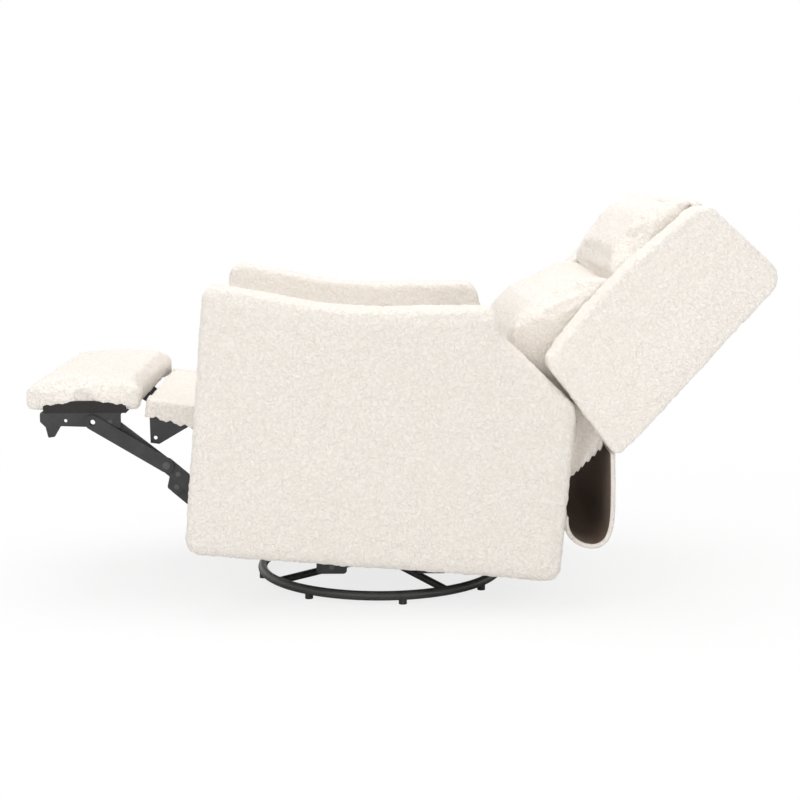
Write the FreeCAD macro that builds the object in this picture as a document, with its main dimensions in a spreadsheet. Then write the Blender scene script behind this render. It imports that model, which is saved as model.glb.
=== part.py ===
import FreeCAD, Part
import math
import os
import Sketcher
from FreeCAD import Placement, Rotation, Vector

# Swivel glider recliner, in millimetres, reclined with its footrest out.
# The chair faces -X, its left side is -Y, and the floor is Z = 0.
# A floor ring carries a ball bearing and a turning plate. A stand on the plate hangs four
# glide links, and the links carry a carriage. The seat body tips on the carriage. Its back
# and its footrest turn on steel plates that are screwed to the insides of the arms.

SIZES = {
    # Where the swivel axis stands, and how far the seat body leans back when reclined
    "swivel_x": -24.0,
    "body_lean": 4.67,
    # Sheet steel and the gaps between moving plates
    "steel": 4.0,
    "layer_gap": 2.0,
    "running_fit": 0.06,
    # Floor ring
    "ring_radius": 264.0,
    "ring_tube": 10.0,
    "foot_lift": 8.0,
    "foot_radius": 8.5,
    "foot_turn": 9.5,
    "spoke_tube": 8.0,
    "spoke_turn": 32.0,
    # Hub, spindle and ball bearing
    "hub_radius": 48.0,
    "hub_bottom": 24.0,
    "hub_height": 20.0,
    "spindle_radius": 12.0,
    "race_bore": 25.0,
    "race_radius": 46.0,
    "race_height": 6.5,
    "race_spacing": 3.0,
    "ball_radius": 4.0,
    "ball_circle": 35.5,
    "nut_height": 8.0,
    "nut_across": 34.0,
    # Turning plate and stand
    "plate_length": 290.0,
    "plate_width": 170.0,
    "plate_thickness": 6.0,
    "stand_inset": 75.0,
    "stand_foot_half": 135.0,
    "crossbar_width": 30.0,
    "crossbar_height": 20.0,
    "stand_shoulder": 110.0,
    # Glide links
    "glide_pivot_x": 105.0,
    "glide_pivot_top": 215.0,
    "glide_link_length": 145.0,
    "glide_link_half": 12.0,
    "glide_link_thickness": 5.0,
    "glide_gap": 5.0,
    "pin_radius": 5.0,
    # Carriage
    "carriage_gap": 6.0,
    "carriage_leg_half": 32.0,
    "carriage_bar_bottom": 234.0,
    "carriage_bar_top": 272.0,
    "carriage_rear": 198.0,
    "carriage_front_tube": -160.0,
    "carriage_rear_tube": 175.0,
    "carriage_tube": 10.0,
    "tilt_u": -245.0,
    "tilt_w": 235.0,
    "tilt_pin": 6.0,
    "tilt_bracket": 5.0,
    "tilt_gap": 3.0,
    "tilt_stop_size": 26.0,
    # Arms
    "overall_width": 760.0,
    "arm_thickness": 101.0,
    "arm_front": -406.0,
    "arm_rear": 353.0,
    "arm_bottom": 100.0,
    "arm_top_front": 647.0,
    "arm_top_dip": 616.0,
    "arm_top_rear": 646.0,
    "arm_shoulder_u": 178.0,
    "arm_step_in": 12.0,
    "arm_step_drop": 58.0,
    "arm_shoulder_w": 461.0,
    "board_thickness": 18.0,
    "board_margin": 20.0,
    "board_top": 430.0,
    # Seat frame
    "rail_bottom": 310.0,
    "rail_top": 370.0,
    "rail_thickness": 25.0,
    "seat_frame_front": -310.0,
    "seat_frame_rear": 250.0,
    "cross_rail_length": 50.0,
    "cross_rail_place": 60.0,
    "spring_wire": 2.0,
    "seat_pad": 28.0,
    "rear_panel_top": 230.0,
    "rear_panel": 15.0,
    # Seat cushion
    "cushion_front": -360.0,
    "cushion_rear": 228.0,
    "cushion_height": 84.0,
    "cushion_crown": 14.0,
    "cushion_gap": 3.0,
    # Side mechanism
    "plate_front": -336.0,
    "plate_rear": 226.0,
    "plate_bottom": 104.0,
    "plate_top": 184.0,
    "front_tube_u": -230.0,
    "front_tube_w": 122.0,
    "rear_tube_u": 200.0,
    "rear_tube_w": 146.0,
    "cross_tube": 12.0,
    # Footrest linkage
    "main_u": -308.0,
    "main_w": 148.0,
    "main_length": 162.0,
    "main_start": 144.0,
    "footrest_swing": 106.0,
    "link_half": 15.0,
    "guide_drop": 28.0,
    "guide_back": 2.0,
    "lift_forward": 144.6,
    "lift_rise": 97.4,
    "control_beyond": 30.0,
    "control_hole": 35.0,
    # Footrest
    "board_front": -135.0,
    "board_back": 33.0,
    "board_low": 18.8,
    "board_depth": 24.5,
    "footrest_front": -171.0,
    "footrest_back": 69.0,
    "footrest_depth": 40.0,
    # Flap between the footrest and the seat
    "flap_u": -325.0,
    "flap_above_rail": 2.0,
    "flap_length": 190.0,
    "flap_thickness": 22.0,
    "flap_tilt": 8.0,
    "flap_inset": 26.0,
    "flap_bracket_gap": 10.0,
    # Back
    "recline_u": 140.0,
    "recline_w": 360.0,
    "recline_pin": 6.0,
    "back_lean": 37.4,
    "back_rear": 238.0,
    "back_low": 186.0,
    "back_top": 674.0,
    "back_shell": 32.0,
    "wing_gap": 4.0,
    "post_depth": 50.0,
    "post_thickness": 24.0,
    "back_rail": 40.0,
    "wing_thickness": 92.0,
    "wing_top_u": 14.0,
    "wing_upper_u": -10.0,
    "wing_upper_w": 470.0,
    "wing_front_u": -8.0,
    "wing_front_w": 300.0,
    "wing_lower_u": 0.0,
    "wing_lower_w": 233.0,
    "wing_foot_u": 100.0,
    "wing_foot_w": 218.0,
    "wing_seam_edge": 5.0,
    "wing_face_edge": 24.0,
    "shell_lip_u": 18.0,
    "lumbar_gap": 3.0,
    "pillow_gap": 1.0,
    "lumbar_low": 178.0,
    "lumbar_high": 442.0,
    "lumbar_top_u": -6.0,
    "lumbar_front_u": -98.0,
    "lumbar_front_w": 258.0,
    "lumbar_under_u": -84.0,
    "lumbar_under_w": 206.0,
    "lumbar_foot_u": -30.0,
    "lumbar_foot_w": 164.0,
    "pillow_low": 446.0,
    "pillow_crest_u": 26.0,
    "pillow_front_u": -40.0,
    "pillow_front_w": 598.0,
    "pillow_foot_u": -18.0,
    # Skirt that hangs from the back to the rear panel
    "skirt_beyond": 51.0,
    "skirt_thickness": 5.0,
}

# Counts
FOOT_COUNT = 8
SPOKE_COUNT = 4
BALL_COUNT = 16
SPRING_BARS = 11

LEFT = -1
RIGHT = 1
SIDES = {"left": LEFT, "right": RIGHT}
UP = Vector(0, 0, 1)
ACROSS = Vector(0, 1, 0)


class Size(float):
    """A number of the size sheet that remembers the expression it comes from."""

    def __new__(cls, number, text):
        made = super().__new__(cls, number)
        made.text = text
        return made

    def __add__(self, other):
        return Size(float(self) + float(other), "(%s + %s)" % (self.text, text_of(other)))

    def __radd__(self, other):
        return Size(float(other) + float(self), "(%s + %s)" % (text_of(other), self.text))

    def __sub__(self, other):
        return Size(float(self) - float(other), "(%s - %s)" % (self.text, text_of(other)))

    def __rsub__(self, other):
        return Size(float(other) - float(self), "(%s - %s)" % (text_of(other), self.text))

    def __mul__(self, other):
        return Size(float(self) * float(other), "(%s * %s)" % (self.text, text_of(other)))

    def __rmul__(self, other):
        return Size(float(other) * float(self), "(%s * %s)" % (text_of(other), self.text))

    def __truediv__(self, other):
        return Size(float(self) / float(other), "(%s / %s)" % (self.text, text_of(other)))

    def __neg__(self):
        return Size(-float(self), "(0 - %s)" % self.text)


def text_of(value):
    """The expression of a size, or a plain number in brackets."""
    if isinstance(value, Size):
        return value.text
    return "(%r)" % float(value)


def cosine(angle):
    return Size(math.cos(math.radians(angle)), "cos(%s * 1 deg)" % angle.text)


def sine(angle):
    return Size(math.sin(math.radians(angle)), "sin(%s * 1 deg)" % angle.text)


class Sheet:
    """The driving sizes, read back from the spreadsheet as attributes."""


doc = FreeCAD.newDocument("swivel_glider_recliner")
size_sheet = doc.addObject("Spreadsheet::Sheet", "Sizes")
for row_number, (alias, number) in enumerate(SIZES.items(), 1):
    size_sheet.set("A%d" % row_number, alias)
    size_sheet.set("B%d" % row_number, str(number))
    size_sheet.setAlias("B%d" % row_number, alias)
doc.recompute()
s = Sheet()
for alias in SIZES:
    setattr(s, alias, Size(size_sheet.get(alias), "Sizes." + alias))


# Frames that the pieces are placed in

def turned(base, place_x, place_z, degrees):
    """The frame `base`, moved in its side view and turned about Y."""
    return base * Placement(Vector(place_x, 0, place_z), Rotation(ACROSS, degrees))


stand_frame = Placement(Vector(s.swivel_x, 0, 0), Rotation())
body_frame = turned(stand_frame, 0, 0, s.body_lean)
back_frame = turned(body_frame, s.recline_u, s.recline_w, s.back_lean)

main_angle = math.radians(s.main_start)
knee_u = s.main_u + s.main_length * math.cos(main_angle)
knee_w = s.main_w + s.main_length * math.sin(main_angle)
footrest_u = knee_u - s.lift_forward
footrest_w = knee_w + s.lift_rise
control_reach = s.main_length + s.control_beyond
control_u = s.main_u + control_reach * math.cos(main_angle)
control_w = s.main_w + control_reach * math.sin(main_angle)
lean_angle = math.radians(s.body_lean)
control_end_u = footrest_u - s.control_hole * math.cos(lean_angle)
control_end_w = footrest_w - s.control_hole * math.sin(lean_angle)

main_frame = turned(body_frame, s.main_u, s.main_w, -s.main_start)
guide_frame = turned(body_frame, s.main_u - s.guide_back, s.main_w - s.guide_drop, -s.main_start)
lift_frame = turned(body_frame, knee_u, knee_w,
                    -math.degrees(math.atan2(s.lift_rise, -s.lift_forward)))
control_frame = turned(body_frame, control_u, control_w,
                       -math.degrees(math.atan2(control_end_w - control_w, control_end_u - control_u)))
footrest_frame = turned(body_frame, footrest_u, footrest_w, -s.body_lean)
flap_w = s.rail_top + s.flap_above_rail
flap_frame = turned(body_frame, s.flap_u, flap_w, s.flap_tilt - s.body_lean)

# Layers out from the middle, counted inwards from the inner face of the arm

arm_inner = s.overall_width / 2 - s.arm_thickness
layer_pitch = s.steel + s.layer_gap
plate_layer = arm_inner - s.steel
control_layer = plate_layer - layer_pitch
main_layer = control_layer - layer_pitch
lift_layer = main_layer - layer_pitch
guide_layer = lift_layer - layer_pitch
stand_layer = arm_inner - s.stand_inset
glide_link_layer = stand_layer + s.steel + s.glide_gap
carriage_layer = glide_link_layer + s.glide_link_thickness + s.carriage_gap
seat_frame_half = carriage_layer - s.tilt_gap - s.tilt_bracket
flap_bracket_layer = guide_layer - s.flap_bracket_gap
flap_half = flap_bracket_layer - s.flap_inset
footrest_half = main_layer + s.steel
back_half = arm_inner + s.wing_gap
lumbar_half = arm_inner - s.lumbar_gap
pillow_half = arm_inner - s.pillow_gap
skirt_half = arm_inner + s.skirt_beyond


# Drawing and building helpers

def bind(item, name, value):
    """Set a property, through an expression when the value comes from the sheet."""
    if isinstance(value, Size):
        item.setExpression(name, value.text)
    else:
        setattr(item, name, value)


def plane(body, role):
    return [part for part in body.Origin.OriginFeatures if part.Role == role][0]


def new_body(label, frame):
    body = doc.addObject("PartDesign::Body", label)
    body.AllowCompound = True
    body.Placement = frame
    return body


def new_sketch(body, role, offset=0.0):
    """A sketch on one of the body's planes, moved along the plane's normal."""
    sketch = body.newObject("Sketcher::SketchObject", "Sketch")
    sketch.AttachmentSupport = [(plane(body, role), "")]
    sketch.MapMode = "FlatFace"
    if isinstance(offset, Size):
        sketch.setExpression("AttachmentOffset.Base.z", offset.text)
    else:
        sketch.AttachmentOffset = Placement(Vector(0, 0, offset), Rotation())
    return sketch


def fix(sketch, shape, point, x, y):
    """Hold a point of the sketch at a distance from the sketch's origin."""
    for kind, value in (("DistanceX", x), ("DistanceY", y)):
        index = sketch.addConstraint(Sketcher.Constraint(kind, -1, 1, shape, point, float(value)))
        if isinstance(value, Size):
            sketch.setExpression("Constraints[%d]" % index, value.text)


def draw_circle(sketch, x, y, radius):
    index = sketch.addGeometry(Part.Circle(Vector(x, y, 0), UP, radius), False)
    fix(sketch, index, 3, x, y)
    limit = sketch.addConstraint(Sketcher.Constraint("Radius", index, float(radius)))
    if isinstance(radius, Size):
        sketch.setExpression("Constraints[%d]" % limit, radius.text)


def draw_outline(sketch, corners):
    """A closed outline of straight lines, each corner held by two distances."""
    first = sketch.GeometryCount
    count = len(corners)
    for index in range(count):
        here = corners[index]
        after = corners[(index + 1) % count]
        sketch.addGeometry(Part.LineSegment(Vector(*here, 0), Vector(*after, 0)), False)
    for index in range(count):
        after = first + (index + 1) % count
        sketch.addConstraint(Sketcher.Constraint("Coincident", first + index, 2, after, 1))
    for index, (x, y) in enumerate(corners):
        fix(sketch, first + index, 1, x, y)


def draw_strap(sketch, length, half):
    """A strap with round ends, from the sketch's origin along its first axis."""
    top = sketch.addGeometry(Part.LineSegment(Vector(0, half, 0), Vector(length, half, 0)), False)
    low = sketch.addGeometry(Part.LineSegment(Vector(0, -half, 0), Vector(length, -half, 0)), False)
    quarter = math.pi / 2
    near_circle = Part.Circle(Vector(0, 0, 0), UP, half)
    far_circle = Part.Circle(Vector(length, 0, 0), UP, half)
    near = sketch.addGeometry(Part.ArcOfCircle(near_circle, quarter, 3 * quarter), False)
    far = sketch.addGeometry(Part.ArcOfCircle(far_circle, -quarter, quarter), False)
    for ends in ((top, 1, near, 1), (near, 2, low, 1), (low, 2, far, 1), (far, 2, top, 2)):
        sketch.addConstraint(Sketcher.Constraint("Tangent", *ends))
    sketch.addConstraint(Sketcher.Constraint("Coincident", near, 3, -1, 1))
    sketch.addConstraint(Sketcher.Constraint("PointOnObject", far, 3, -1))
    for kind, ends, value in (("DistanceX", (-1, 1, far, 3), length), ("Radius", (near,), half)):
        index = sketch.addConstraint(Sketcher.Constraint(kind, *ends, float(value)))
        sketch.setExpression("Constraints[%d]" % index, text_of(value))


def pad(body, sketch, length, reverse=False):
    feature = body.newObject("PartDesign::Pad", "Pad")
    feature.Profile = sketch
    bind(feature, "Length", length)
    feature.Reversed = reverse
    return feature


def pocket(body, sketch, length, reverse=False):
    """Cut a pocket and make sure that it takes something away."""
    doc.recompute()
    before = body.Shape.Volume
    feature = body.newObject("PartDesign::Pocket", "Pocket")
    feature.Profile = sketch
    bind(feature, "Length", length)
    feature.Reversed = reverse
    doc.recompute()
    if body.Shape.Volume > before - 1:
        raise ValueError("a pocket of %s cuts nothing" % body.Label)
    return feature


def round_corners(body, feature, corners, radius):
    """Round the upright edges of a side plate that stand at the given corners."""
    doc.recompute()
    names = []
    for number, edge in enumerate(feature.Shape.Edges, 1):
        along = edge.tangentAt(edge.FirstParameter)
        start = edge.Vertexes[0].Point
        if abs(along.y) < 0.999 or edge.Curve.TypeId != "Part::GeomLine":
            continue
        if any(abs(start.x - x) < 0.01 and abs(start.z - z) < 0.01 for x, z in corners):
            names.append("Edge%d" % number)
    feature_round = body.newObject("PartDesign::Fillet", "Fillet")
    feature_round.Base = (feature, names)
    feature_round.Radius = radius
    return feature_round


def mirror_across(body):
    """Repeat the whole piece on the chair's other side."""
    doc.recompute()
    feature = body.newObject("PartDesign::Mirrored", "Mirrored")
    feature.TransformMode = "Whole shape"
    feature.MirrorPlane = (plane(body, "XZ_Plane"), [""])
    body.Tip = feature
    return feature


def side_plate(label, side, frame, layer, thickness, corners, radius=0, holes=()):
    """A flat plate in the side view. Layer is its inner face's distance from the middle."""
    body = new_body(label, frame)
    sketch = new_sketch(body, "XZ_Plane", layer * -side)
    draw_outline(sketch, corners)
    for hole_x, hole_z, hole_radius in holes:
        draw_circle(sketch, hole_x, hole_z, hole_radius)
    feature = pad(body, sketch, thickness, side == RIGHT)
    if radius:
        round_corners(body, feature, corners, radius)
    return body


def plate_pair(label, frame, layer, thickness, corners, radius=0, holes=()):
    """Two like plates, one on each side of the chair."""
    body = side_plate(label, LEFT, frame, layer, thickness, corners, radius, holes)
    mirror_across(body)
    return body


def strap_pair(label, frame, layer, length, half, thickness, holes):
    """Two like links, one on each side of the chair."""
    body = new_body(label, frame)
    sketch = new_sketch(body, "XZ_Plane", layer)
    draw_strap(sketch, length, half)
    for hole_x, hole_z, hole_radius in holes:
        draw_circle(sketch, hole_x, hole_z, hole_radius)
    pad(body, sketch, thickness)
    mirror_across(body)
    return body


def pin_pairs(label, frame, places, radius, low, high, head_radius, head_low, head_high):
    """Headed pins at some places of the side view, on both sides of the chair."""
    body = new_body(label, frame)
    for start, end, width in ((low, high, radius), (head_low, head_high, head_radius)):
        sketch = new_sketch(body, "XZ_Plane", start)
        for place_x, place_z in places:
            draw_circle(sketch, place_x, place_z, width)
        pad(body, sketch, end - start)
    mirror_across(body)
    return body


def cross_tube(label, frame, places, radius, wall, half_length):
    """Tubes across the chair, at some places of the side view."""
    body = new_body(label, frame)
    sketch = new_sketch(body, "XZ_Plane", -half_length)
    for place_x, place_z in places:
        draw_circle(sketch, place_x, place_z, radius)
        draw_circle(sketch, place_x, place_z, radius - wall)
    pad(body, sketch, half_length * 2)
    return body


def block(label, frame, low, span):
    """A box from its low corner and its three sizes."""
    box = doc.addObject("Part::Box", label)
    for name, value in zip(("Length", "Width", "Height"), span):
        bind(box, name, value)
    box.Placement = frame * Placement(Vector(*low), Rotation())
    return box


def cylinder(label, frame, radius, height, place=(0, 0, 0)):
    item = doc.addObject("Part::Cylinder", label)
    bind(item, "Radius", radius)
    bind(item, "Height", height)
    item.Placement = frame * Placement(Vector(*place), Rotation())
    return item


def group(label, items):
    """Like pieces that share one node as separate solids."""
    compound = doc.addObject("Part::Compound", label)
    compound.Links = items
    return compound


def shape_piece(label, shape, frame):
    item = doc.addObject("Part::Feature", label)
    item.Shape = shape
    item.Placement = frame
    return item


# Soft pieces are lofts of rounded outlines, side by side across the chair

def drawn_in(corners, amounts):
    """The outline with each side moved inwards by its own amount."""
    count = len(corners)
    area = sum(corners[i][0] * corners[(i + 1) % count][1] - corners[(i + 1) % count][0] * corners[i][1]
               for i in range(count))
    turn = 1 if area > 0 else -1
    lines = []
    for index in range(count):
        start = Vector(*corners[index], 0)
        along = (Vector(*corners[(index + 1) % count], 0) - start).normalize()
        lines.append((start + Vector(-along.y, along.x, 0) * turn * amounts[index], along))
    moved = []
    for index in range(count):
        point, along = lines[index - 1]
        other, across = lines[index]
        step = (other - point).cross(across).z / along.cross(across).z
        corner = point + along * step
        moved.append((corner.x, corner.y))
    return moved


def rounded_wire(corners, radii, distance):
    """A closed wire of lines and tangent arcs, at a distance out from the middle."""
    count = len(corners)
    arcs = []
    for index in range(count):
        corner = Vector(corners[index][0], distance, corners[index][1])
        before = Vector(corners[index - 1][0], distance, corners[index - 1][1]) - corner
        after_point = corners[(index + 1) % count]
        after = Vector(after_point[0], distance, after_point[1]) - corner
        before.normalize()
        after.normalize()
        half_angle = before.getAngle(after) / 2
        reach = radii[index] / math.tan(half_angle)
        middle = (before + after).normalize() * (radii[index] / math.sin(half_angle) - radii[index])
        arcs.append((corner + before * reach, corner + middle, corner + after * reach))
    edges = []
    for index in range(count):
        start, middle, end = arcs[index]
        if radii[index]:
            edges.append(Part.Arc(start, middle, end).toShape())
        edges.append(Part.LineSegment(end, arcs[(index + 1) % count][0]).toShape())
    return Part.Wire(edges)


def padded_prism(corners, radii, low, high, low_edge, high_edge):
    """A padded block with round edges, between two distances from the middle."""
    wire = rounded_wire(corners, radii, low)
    block_shape = Part.Face(wire).extrude(Vector(0, high - low, 0))
    for distance, radius in ((low, low_edge), (high, high_edge)):
        ends = [edge for edge in block_shape.Edges
                if all(abs(vertex.Y - distance) < 0.001 for vertex in edge.Vertexes)
                and abs(edge.BoundBox.YLength) < 0.001]
        block_shape = block_shape.makeFillet(radius, ends)
    return block_shape.Solids[0]


def padded_side(side, corners, radii, inner, outer, inner_edge, outer_edge):
    """The padded prism of the chair's left or right side."""
    if side == RIGHT:
        return padded_prism(corners, radii, inner, outer, inner_edge, outer_edge)
    return padded_prism(corners, radii, -outer, -inner, outer_edge, inner_edge)


def cushion_stations(half, edge, crown):
    """Distances across a cushion with the amount that its outline is drawn in there."""
    side = [(half, 0.62 * edge), (half - 0.25 * edge, 0.24 * edge), (half - edge, 0.0)]
    return [(-distance, inset) for distance, inset in side] + [(0.0, -crown)] + side[::-1]


def crowned_cushion(corners, radii, half, edge, crown, flat=()):
    """A cushion with drawn-in ends and a crown. Sides named in `flat` don't swell with it."""
    wires = []
    for distance, inset in cushion_stations(half, edge, crown):
        amounts = [max(inset, 0) if index in flat else inset for index in range(len(corners))]
        tighter = [max(radius - max(inset, 0), 3.0) for radius in radii]
        wires.append(rounded_wire(drawn_in(corners, amounts), tighter, distance))
    return Part.makeLoft(wires, True, True)


def sinuous_spring(start, end, middle, half_width, height, wire):
    """A zigzag spring along X: straight bars joined by half turns."""
    pitch = (end - start) / (SPRING_BARS - 1)
    edges = []
    for index in range(SPRING_BARS):
        place = start + pitch * index
        side = 1 if index % 2 == 0 else -1
        here = Vector(place, middle - side * half_width, height)
        there = Vector(place, middle + side * half_width, height)
        edges.append(Part.LineSegment(here, there).toShape())
        if index < SPRING_BARS - 1:
            top = there + Vector(pitch / 2, side * pitch / 2, 0)
            edges.append(Part.Arc(there, top, there + Vector(pitch, 0, 0)).toShape())
    path = Part.Wire(edges)
    first = Vector(start, middle - half_width, height)
    profile = Part.Wire([Part.Circle(first, ACROSS, wire).toShape()])
    return path.makePipeShell([profile], True, False)


# Floor ring, feet and spokes

ring_height = s.foot_lift + s.ring_tube

ring = doc.addObject("Part::Torus", "floor_ring")
bind(ring, "Radius1", s.ring_radius)
bind(ring, "Radius2", s.ring_tube)
ring.Placement = stand_frame * Placement(Vector(0, 0, ring_height), Rotation())
doc.recompute()

feet = []
for number in range(FOOT_COUNT):
    angle = math.radians(s.foot_turn + 360.0 / FOOT_COUNT * number)
    place = (s.ring_radius * math.cos(angle), s.ring_radius * math.sin(angle), 0)
    foot = cylinder("foot_stock_%d" % number, stand_frame, s.foot_radius,
                    s.foot_lift + s.ring_tube / 2, place)
    foot_cut = doc.addObject("Part::Cut", "foot_%d" % number)
    foot_cut.Base = foot
    foot_cut.Tool = ring
    feet.append(foot_cut)
group("ring_feet", feet)

hub_top = s.hub_bottom + s.hub_height
hub_wall = s.steel

hub = new_body("ring_hub", stand_frame)
hub_sketch = new_sketch(hub, "XZ_Plane")
draw_outline(hub_sketch, [
    (s.hub_radius - hub_wall, s.hub_bottom), (s.hub_radius, s.hub_bottom), (s.hub_radius, hub_top),
    (s.spindle_radius, hub_top), (s.spindle_radius, hub_top - hub_wall),
    (s.hub_radius - hub_wall, hub_top - hub_wall)])
hub_turn = hub.newObject("PartDesign::Revolution", "Revolution")
hub_turn.Profile = hub_sketch
hub_turn.ReferenceAxis = (hub_sketch, ["V_Axis"])
hub_turn.Angle = 360.0

spoke_inner_height = s.hub_bottom + s.hub_height / 2
spokes = []
for number in range(SPOKE_COUNT):
    turn = s.spoke_turn + 360.0 / SPOKE_COUNT * number
    drop = math.degrees(math.atan2(spoke_inner_height - ring_height, s.ring_radius - s.hub_radius))
    reach = math.hypot(spoke_inner_height - ring_height, s.ring_radius - s.hub_radius)
    spoke = cylinder("spoke_stock_%d" % number, stand_frame, s.spoke_tube, reach + s.spoke_tube)
    start = s.hub_radius - s.spoke_tube
    spoke.Placement = (stand_frame * Placement(Vector(0, 0, 0), Rotation(UP, turn))
                       * Placement(Vector(start, 0, spoke_inner_height + 0.0), Rotation(ACROSS, 90 + drop)))
    core = cylinder("spoke_core_%d" % number, stand_frame, s.hub_radius, s.hub_height * 3)
    spoke_trim = doc.addObject("Part::Cut", "spoke_trim_%d" % number)
    spoke_trim.Base = spoke
    spoke_trim.Tool = core
    spoke_cut = doc.addObject("Part::Cut", "spoke_%d" % number)
    spoke_cut.Base = spoke_trim
    spoke_cut.Tool = ring
    spokes.append(spoke_cut)
group("ring_spokes", spokes)

# Spindle, races, balls and nut

plate_bottom = hub_top + s.race_height * 2 + s.race_spacing
plate_top_face = plate_bottom + s.plate_thickness
nut_lift = 0.4
ball_height = hub_top + s.race_height + s.race_spacing / 2

spindle = new_body("swivel_spindle", stand_frame)
spindle_sketch = new_sketch(spindle, "XY_Plane", s.hub_bottom + s.hub_height - hub_wall)
draw_circle(spindle_sketch, 0, 0, s.spindle_radius)
pad(spindle, spindle_sketch, plate_top_face + nut_lift + s.nut_height + 3 - hub_top + hub_wall)

for race_label, race_bottom in (("lower_bearing_race", hub_top),
                                ("upper_bearing_race", hub_top + s.race_height + s.race_spacing)):
    race = new_body(race_label, stand_frame)
    race_sketch = new_sketch(race, "XY_Plane", race_bottom)
    draw_circle(race_sketch, 0, 0, s.race_radius)
    draw_circle(race_sketch, 0, 0, s.race_bore)
    pad(race, race_sketch, s.race_height)
    groove_sketch = new_sketch(race, "XZ_Plane")
    draw_circle(groove_sketch, s.ball_circle, ball_height, s.ball_radius + s.running_fit)
    doc.recompute()
    race_before = race.Shape.Volume
    groove = race.newObject("PartDesign::Groove", "Groove")
    groove.Profile = groove_sketch
    groove.ReferenceAxis = (groove_sketch, ["V_Axis"])
    groove.Angle = 360.0
    doc.recompute()
    if race.Shape.Volume > race_before - 1:
        raise ValueError("the ball groove of %s cuts nothing" % race_label)

balls = []
for number in range(BALL_COUNT):
    angle = 2 * math.pi * number / BALL_COUNT
    ball = doc.addObject("Part::Sphere", "ball_%d" % number)
    bind(ball, "Radius", s.ball_radius)
    ball.Placement = stand_frame * Placement(
        Vector(s.ball_circle * math.cos(angle), s.ball_circle * math.sin(angle), ball_height), Rotation())
    balls.append(ball)
group("bearing_balls", balls)

cage_thickness = 1.6
cage = new_body("bearing_cage", stand_frame)
cage_sketch = new_sketch(cage, "XY_Plane", ball_height - cage_thickness / 2)
draw_circle(cage_sketch, 0, 0, s.ball_circle + s.ball_radius * 2)
draw_circle(cage_sketch, 0, 0, s.ball_circle - s.ball_radius * 2)
for number in range(BALL_COUNT):
    angle = 2 * math.pi * number / BALL_COUNT
    hole = Part.Circle(Vector(s.ball_circle * math.cos(angle), s.ball_circle * math.sin(angle), 0),
                       UP, s.ball_radius + 0.2)
    cage_sketch.addGeometry(hole, False)
pad(cage, cage_sketch, cage_thickness)

nut = doc.addObject("Part::Prism", "nut_stock")
nut.Polygon = 6
bind(nut, "Circumradius", s.nut_across / math.sqrt(3))
bind(nut, "Height", s.nut_height)
nut.Placement = stand_frame * Placement(Vector(0, 0, plate_top_face + nut_lift), Rotation())
nut_bore = cylinder("nut_bore", stand_frame, s.spindle_radius, s.nut_height,
                    (0, 0, plate_top_face + nut_lift))
spindle_nut = doc.addObject("Part::Cut", "spindle_nut")
spindle_nut.Base = nut
spindle_nut.Tool = nut_bore

# Turning plate, crossbars and stand sides

turn_plate = new_body("swivel_plate", stand_frame)
turn_sketch = new_sketch(turn_plate, "XY_Plane", plate_bottom)
half_x = s.plate_length / 2
half_y = s.plate_width / 2
draw_outline(turn_sketch, [(-half_x, -half_y), (half_x, -half_y), (half_x, half_y), (-half_x, half_y)])
draw_circle(turn_sketch, 0, 0, s.spindle_radius + s.running_fit)
pad(turn_plate, turn_sketch, s.plate_thickness)

bar_centre = s.stand_foot_half - s.crossbar_width / 2
bar_parts = []
for number, centre in enumerate((-bar_centre, bar_centre)):
    low = (centre - s.crossbar_width / 2, -stand_layer, plate_top_face)
    bar_parts.append(block("crossbar_%d" % number, stand_frame, low,
                           (s.crossbar_width, stand_layer * 2, s.crossbar_height)))
group("stand_crossbars", bar_parts)

stand_top_half = s.glide_pivot_x + 14
stand_top = s.glide_pivot_top + 14
stand_sides = side_plate("stand_sides", LEFT, stand_frame, stand_layer, s.steel, [
    (-s.stand_foot_half, plate_top_face), (s.stand_foot_half, plate_top_face),
    (s.stand_foot_half, s.stand_shoulder), (stand_top_half, stand_top),
    (-stand_top_half, stand_top), (-s.stand_foot_half, s.stand_shoulder)],
    8.0, [(s.glide_pivot_x, s.glide_pivot_top, s.pin_radius),
          (-s.glide_pivot_x, s.glide_pivot_top, s.pin_radius)])
window = new_sketch(stand_sides, "XZ_Plane", stand_layer)
window_half = 66.0
draw_outline(window, [(-window_half, s.stand_shoulder), (window_half, s.stand_shoulder),
                      (window_half, stand_top - 40), (-window_half, stand_top - 40)])
pocket(stand_sides, window, s.steel, True)
mirror_across(stand_sides)

pin_head = 3.0
link_outer = glide_link_layer + s.glide_link_thickness
pin_pairs("stand_pins", stand_frame,
          [(-s.glide_pivot_x, s.glide_pivot_top), (s.glide_pivot_x, s.glide_pivot_top)],
          s.pin_radius, stand_layer, link_outer + 0.5, s.pin_radius + 3.5,
          link_outer + 0.5, link_outer + 0.5 + pin_head)

# Glide links

glide_bottom = s.glide_pivot_top - s.glide_link_length
glide_hole = s.pin_radius + s.running_fit
for name, place in (("front_glide_links", -s.glide_pivot_x), ("rear_glide_links", s.glide_pivot_x)):
    strap_pair(name, turned(stand_frame, place, glide_bottom, -90), glide_link_layer,
               s.glide_link_length, s.glide_link_half, s.glide_link_thickness,
               [(0.0, 0.0, glide_hole), (s.glide_link_length, 0.0, glide_hole)])

# Carriage

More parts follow.
